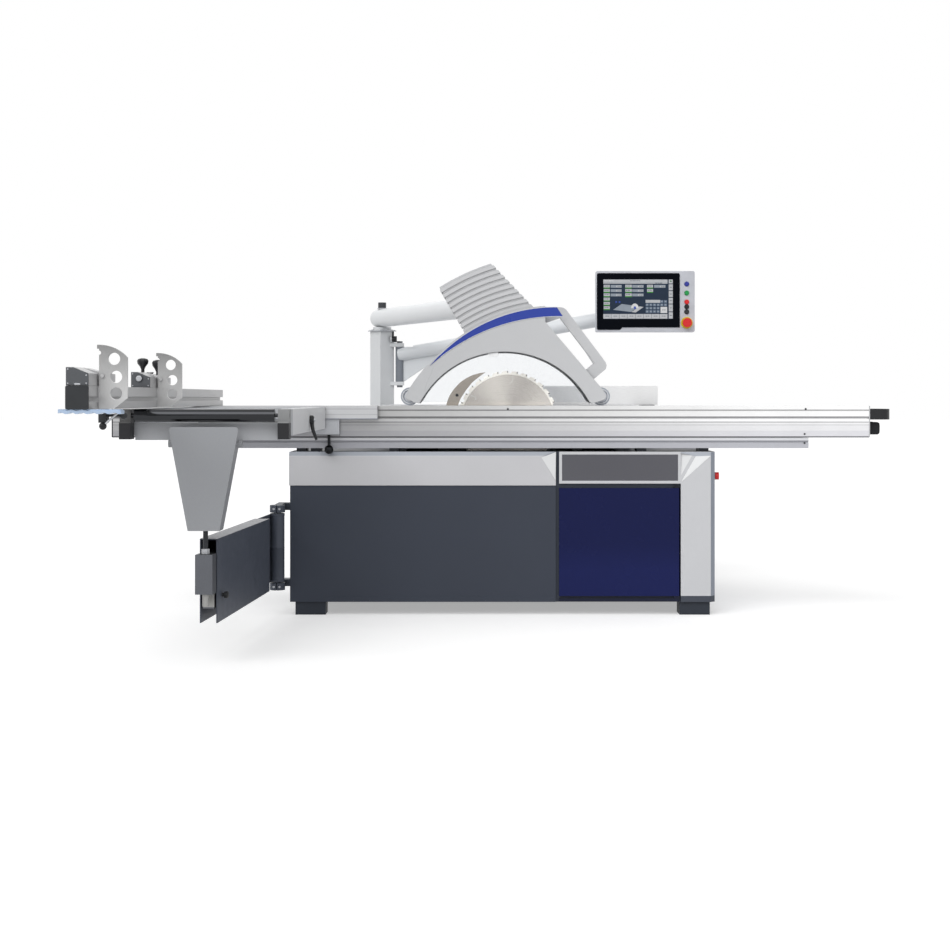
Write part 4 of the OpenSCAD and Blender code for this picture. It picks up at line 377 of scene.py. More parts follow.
MATS = {
    "light": powder("light_paint", (212, 213, 216), 0.40),
    "cover": powder(
        "cover_paint", (201, 201, 204), fleck=0.05,
        # A darker band along the cover's top: painted shade
        zones=[({"z": (674, 700)}, (162, 167, 176))]),
    # Lit and shaded copies of the cover paint: painted light on the facets, a painted highlight on
    # the fold and painted shade at the top
    "facet": powder("lit_facet_paint", (226, 227, 228), fleck=0.03),
    "fold_highlight": powder("fold_highlight_paint", (240, 241, 242), fleck=0.03),
    "shade": powder("shade_paint", (178, 183, 192), fleck=0.03),
    "right_cover": powder(
        "right_cover_paint", (203, 204, 207), fleck=0.05,
        # Slate plinth, and the column's right chamfer darker: painted shade, as it faces away from
        # the light
        zones=[({"z": (0, 81)}, SLATE), ({"x": (881, 901), "z": (81, 690)}, (140, 146, 158))]),
    "hood": powder(
        "hood_paint", (198, 199, 201), 0.36, peel=0.06, fleck=0.07,
        # The mast's foot, seen through the window in the hood's shade, is painted near white:
        # painted light
        zones=[({"y": (70.5, 130), "z": (1105, 1170)}, (252, 252, 253))]),
    "neck": powder("neck_paint", (204, 205, 207), 0.38, peel=0.06, fleck=0.07),
    "column": powder(
        "column_paint", (219, 221, 223), 0.40,
        zones=[({"centre": PANEL_HINGE, "along": 2, "within": 15.5}, (128, 131, 136)),
               ({"z": (1392, 1500), "x": (-660, -560)}, DARK),
               ({"x": (-561, -520), "y": (1325, 1376), "z": (1215, 1275)}, BLACK)]),
    "boom": powder("boom_paint", (234, 236, 238), 0.36),
    "panel_arm": powder(
        "panel_arm_paint", (222, 225, 228), 0.36,
        zones=[({"centre": PANEL_HINGE, "along": 2, "within": 23.5}, (126, 131, 139))]),
    "mid": powder("leg_paint", (150, 152, 156), fleck=0.09),
    "beam": powder("beam_paint", (179, 181, 185), fleck=0.09, zones=BEAM_ZONES),
    "slate": powder("slate_paint", SLATE, 0.45, peel=0.16, wear=0.5, shine=0.2),
    "arm": powder(
        "arm_paint", (72, 77, 88), peel=0.14, wear=0.5, shine=0.25,
        zones=[({"z": (434.3, 435.6)}, (176, 177, 180))]),
    "navy": powder(
        "navy_lacquer", (22, 28, 72), 0.24, peel=0.02, wear=0.2, shine=0.1, crevice_shade_depth=0.1,
        # Lighter towards the bottom: painted reflection of the pale floor
        light_sweep=(2, 0.19, 0.3, 1.3, 1.0)),
    "trim": powder(
        "trim_paint", (92, 92, 98), 0.4, fleck=0.16, shine=0.2,
        zones=[({"z": (0, 86)}, (20, 24, 44)), ({"z": (86, 560)}, (22, 24, 34))]),
    "dark": powder("dark_paint", (52, 55, 62), 0.45, shine=0.25),
    "post": powder(
        "post_paint", (44, 46, 50), 0.4, shine=0.25,
        zones=[({"z": (386, 405)}, (190, 192, 196))]),
    "foot": powder("foot_paint", (46, 51, 60), 0.5, shine=0.25),
    "blue": powder("band_blue", (48, 68, 160), 0.3, peel=0.03, wear=0.1, shine=0.25),
    "white": powder("white_paint", (226, 228, 231), 0.35, peel=0.04),
    "black": plastic("black_plastic", BLACK, 0.42, shine=0.3),
    "ends": plastic(
        "end_plastic", (34, 35, 38), shine=0.3,
        zones=[({"x": (1549, 1556)}, (196, 197, 199))]),
    "brackets": plastic(
        "bracket_cast", (30, 30, 33), shine=0.3,
        zones=[({"z": (833, 900)}, (140, 141, 142)),
               ({"x": (-1400, -1000), "z": (833, 900)}, (80, 80, 80))]),
    "lamp_blue": plastic("lamp_blue", LAMP_BLUE, 0.3, grain=0.06),
    "grey": plastic("grey_plastic", (195, 197, 204), 0.38, grain=0.12),
    "rubber": plastic("rubber", (36, 37, 39), 0.75, grain=0.5, wear=0.8, shine=0.2),
    "glide": plastic("glide_plastic", GLIDE, 0.3, grain=0.1),
    "fittings": plastic(
        "fittings_plastic", (44, 46, 49), 0.42, shine=0.3,
        zones=[({"z": (800, 885.4), "y": (-2640, -2598)}, GLIDE)]),
    "red": plastic("red_plastic", (214, 22, 24), 0.3, grain=0.06),
    "green": plastic("green_plastic", (10, 150, 72), 0.3, grain=0.06),
    "lamps": plastic(
        "lamp_plastic", (226, 196, 20), 0.3, grain=0.06,
        zones=[({"z": (1460, 1520)}, LAMP_BLUE), ({"z": (1330, 1370)}, BLACK)]),
    "left_tyre": tyre("left_tyre", LEFT_WHEEL),
    "right_tyre": tyre("right_tyre", RIGHT_WHEEL),
    "alu_x": metal("anodised_x", (222, 223, 225), 0.34, ALONG_X, 40, 0.06),
    "pale": metal("rip_profile", (248, 248, 248), 0.4, ALONG_X, 40, 0.05, shine=0.15, crevice_shade_depth=0.15),
    "table": metal(
        "table_profile", (226, 226, 226), 0.33, ALONG_X, 40, 0.05, shine=0.75, zones=TABLE_LIGHT_BANDS,
        light_sweep=TABLE_LIGHT_SWEEP),
    "rail": metal(
        "rail_profile", (192, 193, 200), 0.36, ALONG_X, 40, 0.05, shine=0.75, zones=RAIL_LIGHT_BANDS,
        light_sweep=RAIL_LIGHT_SWEEP),
    "alu_y": metal("anodised_y", (180, 180, 181), 0.38, ALONG_Y, 40, 0.06, shine=0.7),
    "far_block": metal("anodised_knobbed", (178, 178, 179), 0.38, ALONG_Y, 40, 0.06),
    "stop": metal(
        "stop_plate", (206, 206, 206), 0.32, (40, 40, 1), 50, 0.06, wear=0.6, shine=0.6,
        # Darker towards the top: painted shade
        light_sweep=(2, 0.93, 1.07, 0.92, 0.42)),
    "iron": metal("cast_iron", (116, 118, 121), 0.5, (6, 6, 6), 90, 0.3),
    "top": metal("ground_top", (186, 187, 189), 0.34, (2, 60, 60), 50, 0.08),
    "blade": metal(
        "blade_steel", (190, 185, 179), 0.26, scale=900, depth=0.03, drift=0.05, about=BLADE_AT),
    "knife": metal("knife_steel", (152, 145, 137), 0.3, (50, 8, 50), 60, 0.06),
    "carbide": metal("carbide", (84, 84, 88), 0.35, (9, 9, 9), 300, 0.1),
    # The chrome's dark colour stands in for the dark surroundings it reflects: a painted
    # reflection
    "chrome": metal("chrome", (56, 57, 59), 0.10, (2, 60, 60), 60, 0.01, drift=0.03),
    "zinc": metal("zinc", (176, 178, 182), 0.3, (12, 12, 12), 120, 0.08),
    "block": metal(
        "raw_block", (96, 98, 103), 0.45, (8, 8, 8), 120, 0.2, drift=0.2,
        zones=[({"z": (200, 250.5)}, (150, 150, 148))]),
    "bar": metal(
        "guide_bar", DARK, 0.22, ALONG_Y, 60, 0.03,
        zones=[({"centre": GUIDE_BAR, "along": 1, "within": 20.3}, (186, 188, 191))]),
    "screw": metal("black_oxide", (62, 63, 66), 0.35, (9, 9, 9), 300, 0.1),
    "plate": metal("end_plate", (86, 88, 91), 0.42, (30, 30, 30), 40, 0.15),
    "clamp": metal(
        "clamp_metal", (176, 178, 182), 0.3, (12, 12, 12), 120, 0.08,
        zones=[({"z": (600, 764.5)}, (38, 39, 41))]),
    "tooth": metal(
        "tooth_steel", (244, 240, 232), 0.3, scale=900, depth=0.03, drift=0.04, about=BLADE_AT,
        shine=0.4),
    # Grey of the bead of painted shadow round the window
    "shadow_bead": plastic("shadow_bead_grey", (122, 123, 125), 0.7, grain=0.4, shine=0.2),
    "frost": plastic("frosted_tab", (250, 251, 252), 0.6, grain=0.05, wear=0.0),
    "clear": clear_sheet(),
    "glass": screen_glass(),
}

# Colours of the screen's display
for name, colour in {
        "ui_back": (44, 57, 76), "ui_bar": (204, 206, 210), "ui_value": (158, 167, 178),
        "ui_key": (122, 138, 158), "ui_green": (72, 148, 62), "ui_ink": (96, 104, 116),
        "ui_blue": (70, 96, 190), "ui_white": (232, 233, 235)}.items():
    MATS[name] = screen_light(name, srgb(*colour))

# Nodes with each look
LOOKS = {node: look for look, nodes in {
    "slate": "base_cabinet front_panel", "foot": "feet", "cover": "left_cover",
    "right_cover": "right_cover", "navy": "access_door", "trim": "front_trim",
    "red": "side_stop red_button emergency_stop", "table": "sliding_table", "ends": "table_ends",
    "black": "push_handle clamp_lever selector", "rail": "lower_rail",
    "iron": "roller_carriage tilt_frame rise_slide motor_pulley",
    "dark": "saw_frame rip_carriage motor", "top": "main_table", "alu_x": "table_insert",
    "light": "extension_table", "bar": "guide_bar", "pale": "rip_fence",
    "blade": "scoring_blade saw_blade", "zinc": "arbor", "knife": "riving_knife",
    "beam": "outrigger_frame", "brackets": "roller_brackets", "chrome": "outrigger_roller",
    "mid": "support_leg", "post": "leg_post", "clamp": "table_clamp",
    "arm": "arm_bracket swing_arm", "block": "arm_slide", "alu_y": "fence_profile near_carriage",
    "fittings": "fence_fittings", "far_block": "far_carriage", "stop": "near_stop far_stop",
    "column": "guard_column", "boom": "guard_boom", "hood": "guard_hood", "blue": "guard_band",
    "clear": "guard_window", "neck": "extraction_neck", "left_tyre": "left_wheel",
    "right_tyre": "right_wheel", "panel_arm": "panel_arm", "grey": "panel_housing",
    "glass": "panel_glass", "lamps": "panel_lamps", "green": "green_button",
}.items() for node in nodes.split()}
for node, look in LOOKS.items():
    mesh = NODES[node].data
    mesh.materials.clear()
    mesh.materials.append(MATS[look])


# Detail pieces, in millimetres of the frame

SHARP_ANGLE = radians(35)
BEVEL_ANGLE = radians(40)


class Piece:
    """One detail piece, gathered from closed solids with a look each."""

    def __init__(self, name, body, slot):
        self.name, self.body, self.slot = name, body, slot
        self.bm = bmesh.new()
        self.looks = []

    def skin(self, rings, look, closed=False):
        """Closed skin over rings of equal length, capped at both ends unless the rings close."""
        if look not in self.looks:
            self.looks.append(look)
        rows = [[self.bm.verts.new(p) for p in ring] for ring in rings]
        pairs = list(zip(rows, rows[1:])) + ([(rows[-1], rows[0])] if closed else [])
        faces = []
        for a, b in pairs:
            for i in range(len(a)):
                j = (i + 1) % len(a)
                faces.append(self.bm.faces.new((a[i], a[j], b[j], b[i])))
        if not closed:
            faces += [self.bm.faces.new(rows[0][::-1]), self.bm.faces.new(rows[-1])]
        for face in faces:
            face.material_index = self.looks.index(look)

    def prism(self, points, axis, low, high, look):
        """Outline in the two other axes, drawn out along one axis."""
        self.skin([[put(p, t, axis) for p in points] for t in (low, high)], look)

    def plate(self, low, high, look):
        points = [(low[0], low[2]), (high[0], low[2]), (high[0], high[2]), (low[0], high[2])]
        self.prism(points, 1, low[1], high[1], look)

    def turned(self, centre, axis, stations, look, sides=24, closed=False):
        """Round body through stations (place along the axis, radius), or a closed ring of them."""
        a, b = [centre[k] for k in range(3) if k != axis]
        turns = [2 * pi * i / sides for i in range(sides)]
        rings = [[put((a + r * cos(t), b + r * sin(t)), centre[axis] + step, axis) for t in turns]
                 for step, r in stations]
        self.skin(rings, look, closed)

    def screw(self, at, axis, out, r, look="screw"):
        """Cap screw with a chamfer and a hex socket, its head out from a face."""
        h = out * r * 0.8
        body = [(-out * r * 0.3, r), (h * 0.75, r), (h, r * 0.8), (h, r * 0.5),
                (h * 0.55, r * 0.45)]
        self.turned(at, axis, body, look, 12)

    def bolt(self, at, axis, out, r):
        """Hex bolt on its washer."""
        self.turned(at, axis, [(-out * 0.5, r * 1.5), (out * r * 0.2, r * 1.5)], "zinc", 20)
        head = [(0, r), (out * r * 0.7, r), (out * r * 0.85, r * 0.85)]
        self.turned(at, axis, head, "zinc", 6)

    def swept(self, path, r, look, sides=8):
        """Round bead along a path, with one radius or one for each point."""
        radii = r if isinstance(r, list) else [r] * len(path)
        turns = [2 * pi * k / sides for k in range(sides)]
        rings = []
        for i, p in enumerate(path):
            back, ahead = Vector(path[max(i - 1, 0)]), Vector(path[min(i + 1, len(path) - 1)])
            run = (ahead - back).normalized()
            side = run.cross(Vector((0, 1, 0))).normalized()
            up = side.cross(run)
            ways = [cos(t) * side + sin(t) * up for t in turns]
            rings.append([Vector(p) + radii[i] * way for way in ways])
        self.skin(rings, look)

    def ball(self, centre, r, look, sides=20, rows=12):
        turns = [pi * (i + 0.5) / rows for i in range(rows)]
        stations = [(-r * cos(t), r * sin(t)) for t in turns]
        self.turned(centre, 2, stations, look, sides)

    def done(self, bevel):
        """The finished object, with its edges bevelled by a width or left as they are at 0."""
        bmesh.ops.recalc_face_normals(self.bm, faces=self.bm.faces)
        bmesh.ops.scale(self.bm, vec=(MM, MM, MM), verts=self.bm.verts)
        mesh = bpy.data.meshes.new(self.name)
        self.bm.to_mesh(mesh)
        self.bm.free()
        for look in self.looks:
            mesh.materials.append(MATS[look])
        mesh.polygons.foreach_set("use_smooth", [True] * len(mesh.polygons))
        mesh.set_sharp_from_angle(angle=SHARP_ANGLE)
        piece = placed(self.name, mesh)
        if bevel:
            edges = piece.modifiers.new("edges", "BEVEL")
            edges.width, edges.segments, edges.limit_method = bevel * MM, 2, "ANGLE"
            edges.angle_limit = BEVEL_ANGLE
        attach(piece, self.body)
        return piece


def put(point, t, axis):
    """A point of the plane across an axis, at t along it."""
    at = list(point)
    at.insert(axis, t)
    return at


def arc(centre, r, from_deg, to_deg, steps, y):
    """Points on an arc in X and Z."""
    turns = [radians(from_deg + (to_deg - from_deg) * i / steps) for i in range(steps + 1)]
    return [(centre[0] + r * cos(t), y, centre[1] + r * sin(t)) for t in turns]


def face(node, at, axis, out):
    """Place along an axis, in millimetres, where a line from outside first meets a CAD node."""
    outside = 6.0
    start = [v * MM for v in at]
    start[axis] = out * outside
    way = [0.0, 0.0, 0.0]
    way[axis] = -out
    found, place, _, _ = NODES[node].ray_cast(Vector(start), Vector(way))
    if not found:
        raise ValueError("no face of %s at %s" % (node, at))
    return place[axis] / MM


def screws(piece, node, places, axis, out, r, look="screw"):
    """Cap screws seated on a CAD node's face."""
    for at in places:
        at = list(at)
        at[axis] = face(node, at, axis, out)
        piece.screw(at, axis, out, r, look)


def on_blade(r, turn, y):
    """Point at a radius and a turn of the blade, off its middle plane by y."""
    return (BLADE_AT[0] + r * cos(turn), BLADE_AT[1] + y, BLADE_AT[2] + r * sin(turn))


def blade_disc():
    """Saw blade: ground disc, pale toothed rim, carbide tips and expansion slots."""
    r, count, half_t, half_w, half_tip = 225.0, 32, 1.6, 2.2, 2.35
    rim, lap, bore_r = 17, 0.5, 15.1
    slots, slot_r, slot_step, slot_bead = 6, 206, 4.2, 0.45
    # Share of the pitch along a tooth, and depth below the cutting circle
    tooth = ((0.0, 0.0), (0.3, 0.8), (0.6, 1.8), (0.66, 8.0), (0.72, 10.5), (0.8, 11.5),
             (0.88, 10.5), (0.95, 6.0))
    # Radius of a tip's corners, and their place along the circle
    tip = [(r + 0.2, -0.2), (r - 0.3, 3.2), (r - 8.5, 3.6), (r - 8.5, 0.4)]
    piece = Piece("blade_disc", "blade", "blade_steel")
    turns = [2 * pi * (i + share) / count for i in range(count) for share, _ in tooth]
    outer = [r - depth for _ in range(count) for _, depth in tooth]
    inner = [r - rim] * len(turns)
    section = ((outer, -half_w), (outer, half_w), (inner, half_w), (inner, -half_w))
    rings = [[on_blade(q, t, y) for q, t in zip(radii, turns)] for radii, y in section]
    piece.skin(rings, "tooth", True)
    disc_r = r - rim + lap
    disc = [(-half_t, disc_r), (half_t, disc_r), (half_t, bore_r), (-half_t, bore_r)]
    piece.turned(BLADE_AT, 1, disc, "blade", 128, True)
    for i in range(count):
        turn = 2 * pi * i / count
        run, side = (cos(turn), sin(turn)), (-sin(turn), cos(turn))
        points = [(BLADE_AT[0] + q * run[0] + s * side[0],
                   BLADE_AT[2] + q * run[1] + s * side[1]) for q, s in tip]
        piece.prism(points, 1, BLADE_AT[1] - half_tip, BLADE_AT[1] + half_tip, "carbide")
    for i in range(slots):
        turn = radians(60 * i + 24)
        for y in (-half_t, half_t):
            path = []
            for k in range(9):
                a = turn + 0.012 * sin(k * 0.8) + 0.02 * max(k - 6, 0)
                path.append(on_blade(slot_r - slot_step * k, a, y))
            piece.swept(path, slot_bead, "white", 6)
    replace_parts(piece.done(0), "saw_blade")


def knife():
    """Riving knife: a pointed fin behind the blade, with its arm under the table."""
    piece = Piece("riving_fin", "rising", "blade_steel")
    near, far = -56.5, -53.5
    fin = [(-250, 774), (-252, 830), (-246.4, 886), (-240, 906), (-229.7, 931), (-210, 960),
           (-185, 987), (-158, 1006), (-129.5, 1020), (-98, 1029.5), (-70, 1032.8), (-78, 1028),
           (-100, 1012), (-130, 988), (-160, 950), (-182, 915), (-196, 880), (-202, 850),
           (-205, 814), (-204, 774)]
    piece.prism(fin, 1, near, far, "knife")
    for y, out in ((near, -1), (far, 1)):
        rivet = [(-out * 0.3, 7), (out * 0.5, 7), (out * 0.5, 4.5)]
        piece.turned((-198, y, 931), 1, rivet, "screw", 20)
    piece.plate((-242, -53.6, 774), (-208, -50.5, 804), "knife")
    piece.plate((-242, -50.6, 774), (-31, -42.6, 804), "knife")
    piece.plate((-70, -43, 774), (-31, 21.5, 804), "knife")
    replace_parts(piece.done(0.3), "riving_knife")


def screen():
    """Generic machine screen: value rows, a board diagram, a keypad and a row of menu keys."""
    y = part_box("panel_glass")[0][1] / MM
    left, top, right, foot = 522.0, 1510.0, 869.0, 1313.0
    # The screen's own units, in which its tiles are laid out from the top left
    across, down = 855.0, 485.0
    piece = Piece("screen_ui", "panel", "black_glass")

    def at(u, v):
        return (left + (right - left) * u / across, top + (foot - top) * v / down)

    def oval(u, v, half_u, half_v, steps, points):
        turns = [pi * k / steps for k in range(points)]
        return [at(u + half_u * cos(t), v - half_v * sin(t)) for t in turns]

    def tile(u0, v0, u1, v1, look, level):
        (x0, z1), (x1, z0) = at(u0, v0), at(u1, v1)
        piece.plate((x0, y - 0.12 * level, z0), (x1, y + 0.05, z1), look)

    def marks(u, v, widths, look="ui_ink"):
        """Short strokes that stand for a line of writing."""
        for w in widths:
            tile(u, v, u + w, v + 7, look, 4)
            u += w + 6

    tile(0, 0, across, down, "ui_back", 1)
    tile(0, 0, 790, 50, "ui_bar", 2)
    tile(0, 34, 790, 37, "ui_value", 3)
    marks(14, 12, (46, 30, 22), "ui_white")
    marks(330, 12, (20, 44, 28, 16))
    marks(640, 40, (24, 18, 30))
    for v0, v1 in ((0, 48), (58, 132), (142, 214), (224, 296), (306, 392), (402, 480)):
        tile(805, v0, across, v1, "ui_bar", 2)
        marks(818, (v0 + v1) / 2 - 4, (24,))
    tile(822, 12, 838, 30, "ui_green", 3)
    columns = ((5, 80, 6, 90, 225, 3), (270, 350, 3, 355, 495, 3), (538, 612, 2, 625, 765, 1))
    for u0, u1, rows, v_from, v_to, values in columns:
        for i in range(rows):
            v = 64 + 53 * i
            tile(u0, v, u1, v + 33, "ui_bar", 2)
            tile(u0, v + 33, u1, v + 46, "ui_green", 2)
            marks(u0 + 9, v + 12, (18, 26))
            if i < values:
                tile(v_from, v + 2, v_to, v + 36, "ui_value", 2)
                tile(v_from + 0.5 * (v_to - v_from), v + 12, v_to - 6, v + 30, "ui_bar", 3)
                marks(v_from + 0.62 * (v_to - v_from), v + 18, (14, 22))
    board = [at(u, v) for u, v in ((120, 372), (340, 398), (440, 330), (226, 300))]
    piece.prism(board, 1, y - 0.36, y, "ui_value")
    offcut = [at(u, v) for u, v in ((345, 399), (398, 405), (496, 337), (446, 330))]
    piece.prism(offcut, 1, y - 0.36, y, "ui_bar")
    piece.prism(oval(388, 352, 46, 58, 24, 25), 1, y - 0.5, y, "ui_white")
    piece.prism(oval(388, 346, 15, 17, 8, 16), 1, y - 0.62, y, "ui_blue")
    for shift in (0, 40):
        arrow = [at(150 + shift, 262), at(176 + shift, 276), at(150 + shift, 290)]
        piece.prism(arrow, 1, y - 0.36, y, "ui_blue")
    tile(520, 250, 700, 286, "ui_bar", 2)
    for row in range(4):
        for col in range(6):
            u, v = 522 + 45 * col, 252 + 41 * row
            if (row == 0 and col < 4) or (row > 1 and col > 3):
                continue
            tile(u, v + 2, u + 36, v + 33, "ui_key", 2)
            marks(u + 11, v + 14, (13,), "ui_bar")
    tile(704, 336, 786, 412, "ui_white", 2)
    marks(724, 370, (18, 18))
    for i in range(8):
        tile(99 * i, 424, 99 * i + 96, 481, "ui_bar", 2)
        marks(99 * i + 26, 446, (18, 20))
    piece.done(0)


def panel_fittings():
    """Bezels round the buttons, and the screws, vents and hinge plate of the panel's back."""
    piece = Piece("panel_fittings", "panel", "grey_plastic")
    x, y = 939.0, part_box("panel_housing")[0][1] / MM
    bezel = [(0.4, 10.6), (-3.2, 10.6), (-3.6, 11.2), (-2.6, 12.4), (0.4, 12.6)]
    buttons = ((1488.0, "lamp_blue"), (1442.9, "green"), (1398.1, "red"), (1374.0, "black"),
               (1349.0, "black"))
    for z, look in buttons:
        piece.turned((x, y, z), 1, bezel, look, 32, True)
    back, plate_t = PANEL_BACK, 3
    for bx, bz in ((500, 1263), (500, 1538), (964, 1263), (964, 1538), (732, 1538)):
        piece.screw((bx, back, bz), 1, 1, 4.5)
    for bx in (520, 830):
        for i in range(9):
            slot = rounded(bx, 1300 + 22 * i, bx + 110, 1307 + 22 * i, 3.4)
            piece.prism(slot, 1, back - 0.4, back + 0.5, "black")
    plate = rounded(656, 1290, 744, 1400, 6)
    piece.prism(plate, 1, back - 0.4, back + plate_t, "dark")
    for bx in (664, 736):
        for bz in (1298, 1392):
            piece.screw((bx, back + plate_t, bz), 1, 1, 4)
    piece.done(0.3)


def rounded(x0, z0, x1, z1, r, steps=5):
    """Rectangle with round corners, in the plane across an axis."""
    points = []
    corners = ((x1 - r, z1 - r, 0), (x0 + r, z1 - r, 90), (x0 + r, z0 + r, 180),
               (x1 - r, z0 + r, 270))
    for cx, cz, start in corners:
        for i in range(steps + 1):
            t = radians(start + 90 * i / steps)
            points.append((cx + r * cos(t), cz + r * sin(t)))
    return points


def carriage_plate(name, body, y, knob):
    """Dark end plate of a stop carriage with its screws, and a clamp knob or a bright tab."""
    piece = Piece(name, body, "dark_paint")
    outline = [(-1296, 955), (-1231, 955), (-1231, 989.4), (-1275, 1007), (-1296, 1007)]
    front = y - 2.6
    piece.prism(outline, 1, front, y + 0.2, "plate")
    for x, z in ((-1290.5, 1001.5), (-1290.5, 960.5), (-1237, 984), (-1237, 960.5)):
        piece.screw((x, front, z), 1, -1, 2.4, "zinc")
    if knob:
        shape = [(0.2, 9), (-3, 9), (-4, 10.5), (-8, 10.5), (-9.5, 9), (-9.5, 3)]
        piece.turned((-1268, front, 985), 1, shape, "zinc", 18)
    else:
        piece.prism(rounded(-1272, 955.5, -1254, 961, 2.5), 1, y - 3.4, y, "zinc")
    piece.done(0.3)


def fence_fittings():
    """Rule along the fence's top, the wavy glide under its near end and its lock's ball lever."""
    piece = Piece("fence_rule", "fence", "anodised")
    top, rule_x, rule_near, rule_far = 953.5, -1293, -2632, -440
    piece.plate((rule_x - 1, rule_near, top - 0.1), (-1276, rule_far, top + 0.18), "white")
    for i in range(219):
        y = rule_near + 2 + 10 * i
        reach = 12 if i % 10 == 0 else 9 if i % 5 == 0 else 6
        piece.plate((rule_x, y, top), (rule_x + reach, y + 0.9, top + 0.3), "black")
    near, far, half_t, steps = -2643, -2598, 4.6, 60
    rings = []
    for i in range(steps + 1):
        x = -1319 + 183 * i / steps
        z = 878.5 + 2.4 * sin(i * 0.62)
        low, high = z - half_t, z + half_t
        rings.append([(x, near, low), (x, far, low), (x, far, high), (x, near, high)])
    piece.skin(rings, "glide")
    y = -2236
    lever = [(x, y, z) for x, z in ((-1234, 871), (-1246, 861), (-1260, 849), (-1274, 836))]
    piece.swept(lever, 3.4, "zinc", 12)
    piece.ball((-1281, y, 830), 12, "black")
    piece.done(0)


def copied(node, name, body, top=None):
    """Copy of a node's mesh that stands in for it, cut off and closed above a height if given."""
    bm = bmesh.new()
    bm.from_mesh(NODES[node].data)
    bmesh.ops.remove_doubles(bm, verts=bm.verts, dist=1e-6)
    if top:
        above = [v for v in bm.verts if v.co[2] > top * MM]
        bmesh.ops.delete(bm, geom=above, context="VERTS")
        bmesh.ops.holes_fill(bm, edges=[e for e in bm.edges if e.is_boundary], sides=0)
        bmesh.ops.recalc_face_normals(bm, faces=bm.faces)
    mesh = bpy.data.meshes.new(name)
    bm.to_mesh(mesh)
    bm.free()
    mesh.materials.append(MATS[LOOKS[node]])
    shell = placed(name, mesh)
    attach(shell, body)
    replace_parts(shell, node)
    return shell


def far_knobs():
    """Far carriage with two lobed hand knobs on slender stems."""
    copied("far_carriage", "far_carriage_body", "far_block", 1009.8)
    piece = Piece("far_knobs", "far_block", "black_plastic")
    # Share of a knob's height, and radius there
    stations = ((0.0, 6), (0.24, 6), (0.44, 11), (0.62, 17), (0.82, 18.5), (0.94, 15), (1.0, 6))
    y, lobes, lobe_share, stem_r, sides = -1573, 6, 0.1, 12, 48
    turns = [2 * pi * i / sides for i in range(sides)]
    for x, low, high in ((-1290, 1008, 1059), (-1237, 997, 1053)):
        rings = []
        for share, r in stations:
            wave = lobe_share if r > stem_r else 0
            radii = [r * (1 + wave * cos(lobes * t)) for t in turns]
            z = low + share * (high - low)
            rings.append([(x + q * cos(t), y + q * sin(t), z) for q, t in zip(radii, turns)])
        piece.skin(rings, "black")
    piece.done(0)


def lock_lever():
    """Clamp lever: a round hub with its screw and a tapered handle bent outwards."""
    piece = Piece("lock_handle", "lock_lever", "black_plastic")
    x, y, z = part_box("clamp_lever")[0][0] / MM, -1125.0, 835.0
    piece.turned((x, y, z), 0, [(0, 15), (1.5, 17), (12, 17), (16, 12)], "black", 28)
    piece.screw((x + 16, y, z), 0, 1, 6, "zinc")
    bends = ((8, 0, -8), (9, -2, -24), (13, -4, -42), (20, -6, -60), (26, -8, -76))
    path = [(x + dx, y + dy, z + dz) for dx, dy, dz in bends]
    piece.swept(path, [8, 7.5, 6.8, 6.8, 5.0], "black", 14)
    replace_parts(piece.done(0), "clamp_lever")


def table_fittings():
    """Screws of the sliding table's front and right end plate, and its rubber buffer."""
    piece = Piece("table_screws", "sliding", "anodised")
    screws(piece, "sliding_table", [(22, 0, 871.5), (1282, 0, 871.5), (1278, 0, 765.7)], 1, -1, 4)
    screws(piece, "table_ends", [(0, y, 872) for y in (-395, -270, -140)], 0, 1, 4, "zinc")
    buffer, middle_y, middle_z = rounded(-398, 763, -346, 816, 8), -372, 790
    rings = []
    for x, inset in ((1555.5, 2), (1560, 0), (1594, 0), (1602, 4), (1604, 9)):
        rings.append([(x, y + (inset if y < middle_y else -inset),
                       z + (inset if z < middle_z else -inset)) for y, z in buffer])
    piece.skin(rings, "rubber")
    piece.done(0.2)


def by_column(u, v):
    """Point of the column's square plan, which stands turned on the floor."""
    return (COLUMN_AT[0] + u * cos(COLUMN_TURN) - v * sin(COLUMN_TURN),
            COLUMN_AT[1] + u * sin(COLUMN_TURN) + v * cos(COLUMN_TURN))


def base_fittings():
    """Bolts and screws of the base, and the service panels, vents and hose clamp of its back."""
    piece = Piece("base_fittings", "base", "dark_paint")
    screws(piece, "lower_rail", [(1278, 0, 727.7)], 1, -1, 4)
    half, flange_top = 85, 12
    for u in (-half, half):
        for v in (-half, half):
            piece.bolt((*by_column(u, v), flange_top), 2, 1, 11)
    places = [(x, 0, z) for z in (127, 453) for x in (-960, -936)]
    screws(piece, "arm_bracket", places, 1, -1, 5, "zinc")
    back, panel_t, inset = CABINET_BACK, 2.2, 16
    for x0, x1, z0, z1 in ((-840, -420, 130, 610), (60, 300, 200, 610), (420, 850, 130, 610)):
        piece.prism(rounded(x0, z0, x1, z1, 14), 1, back - 0.3, back + panel_t, "slate")
        for x in (x0 + inset, (x0 + x1) / 2, x1 - inset):
            for z in (z0 + inset, z1 - inset):
                piece.screw((x, back + panel_t, z), 1, 1, 5, "zinc")
    for i in range(12):
        for x in (-770, 500):
            z = 330 + 18 * i
            piece.prism(rounded(x, z, x + 270, z + 8, 3.8), 1, back + 1, back + 2.9, "black")
    clamp = [(28, 60.3), (40, 60.3), (40, 62.6), (28, 62.6)]
    piece.turned((-250, back, 300), 1, clamp, "zinc", 48, True)
    piece.done(0.4)


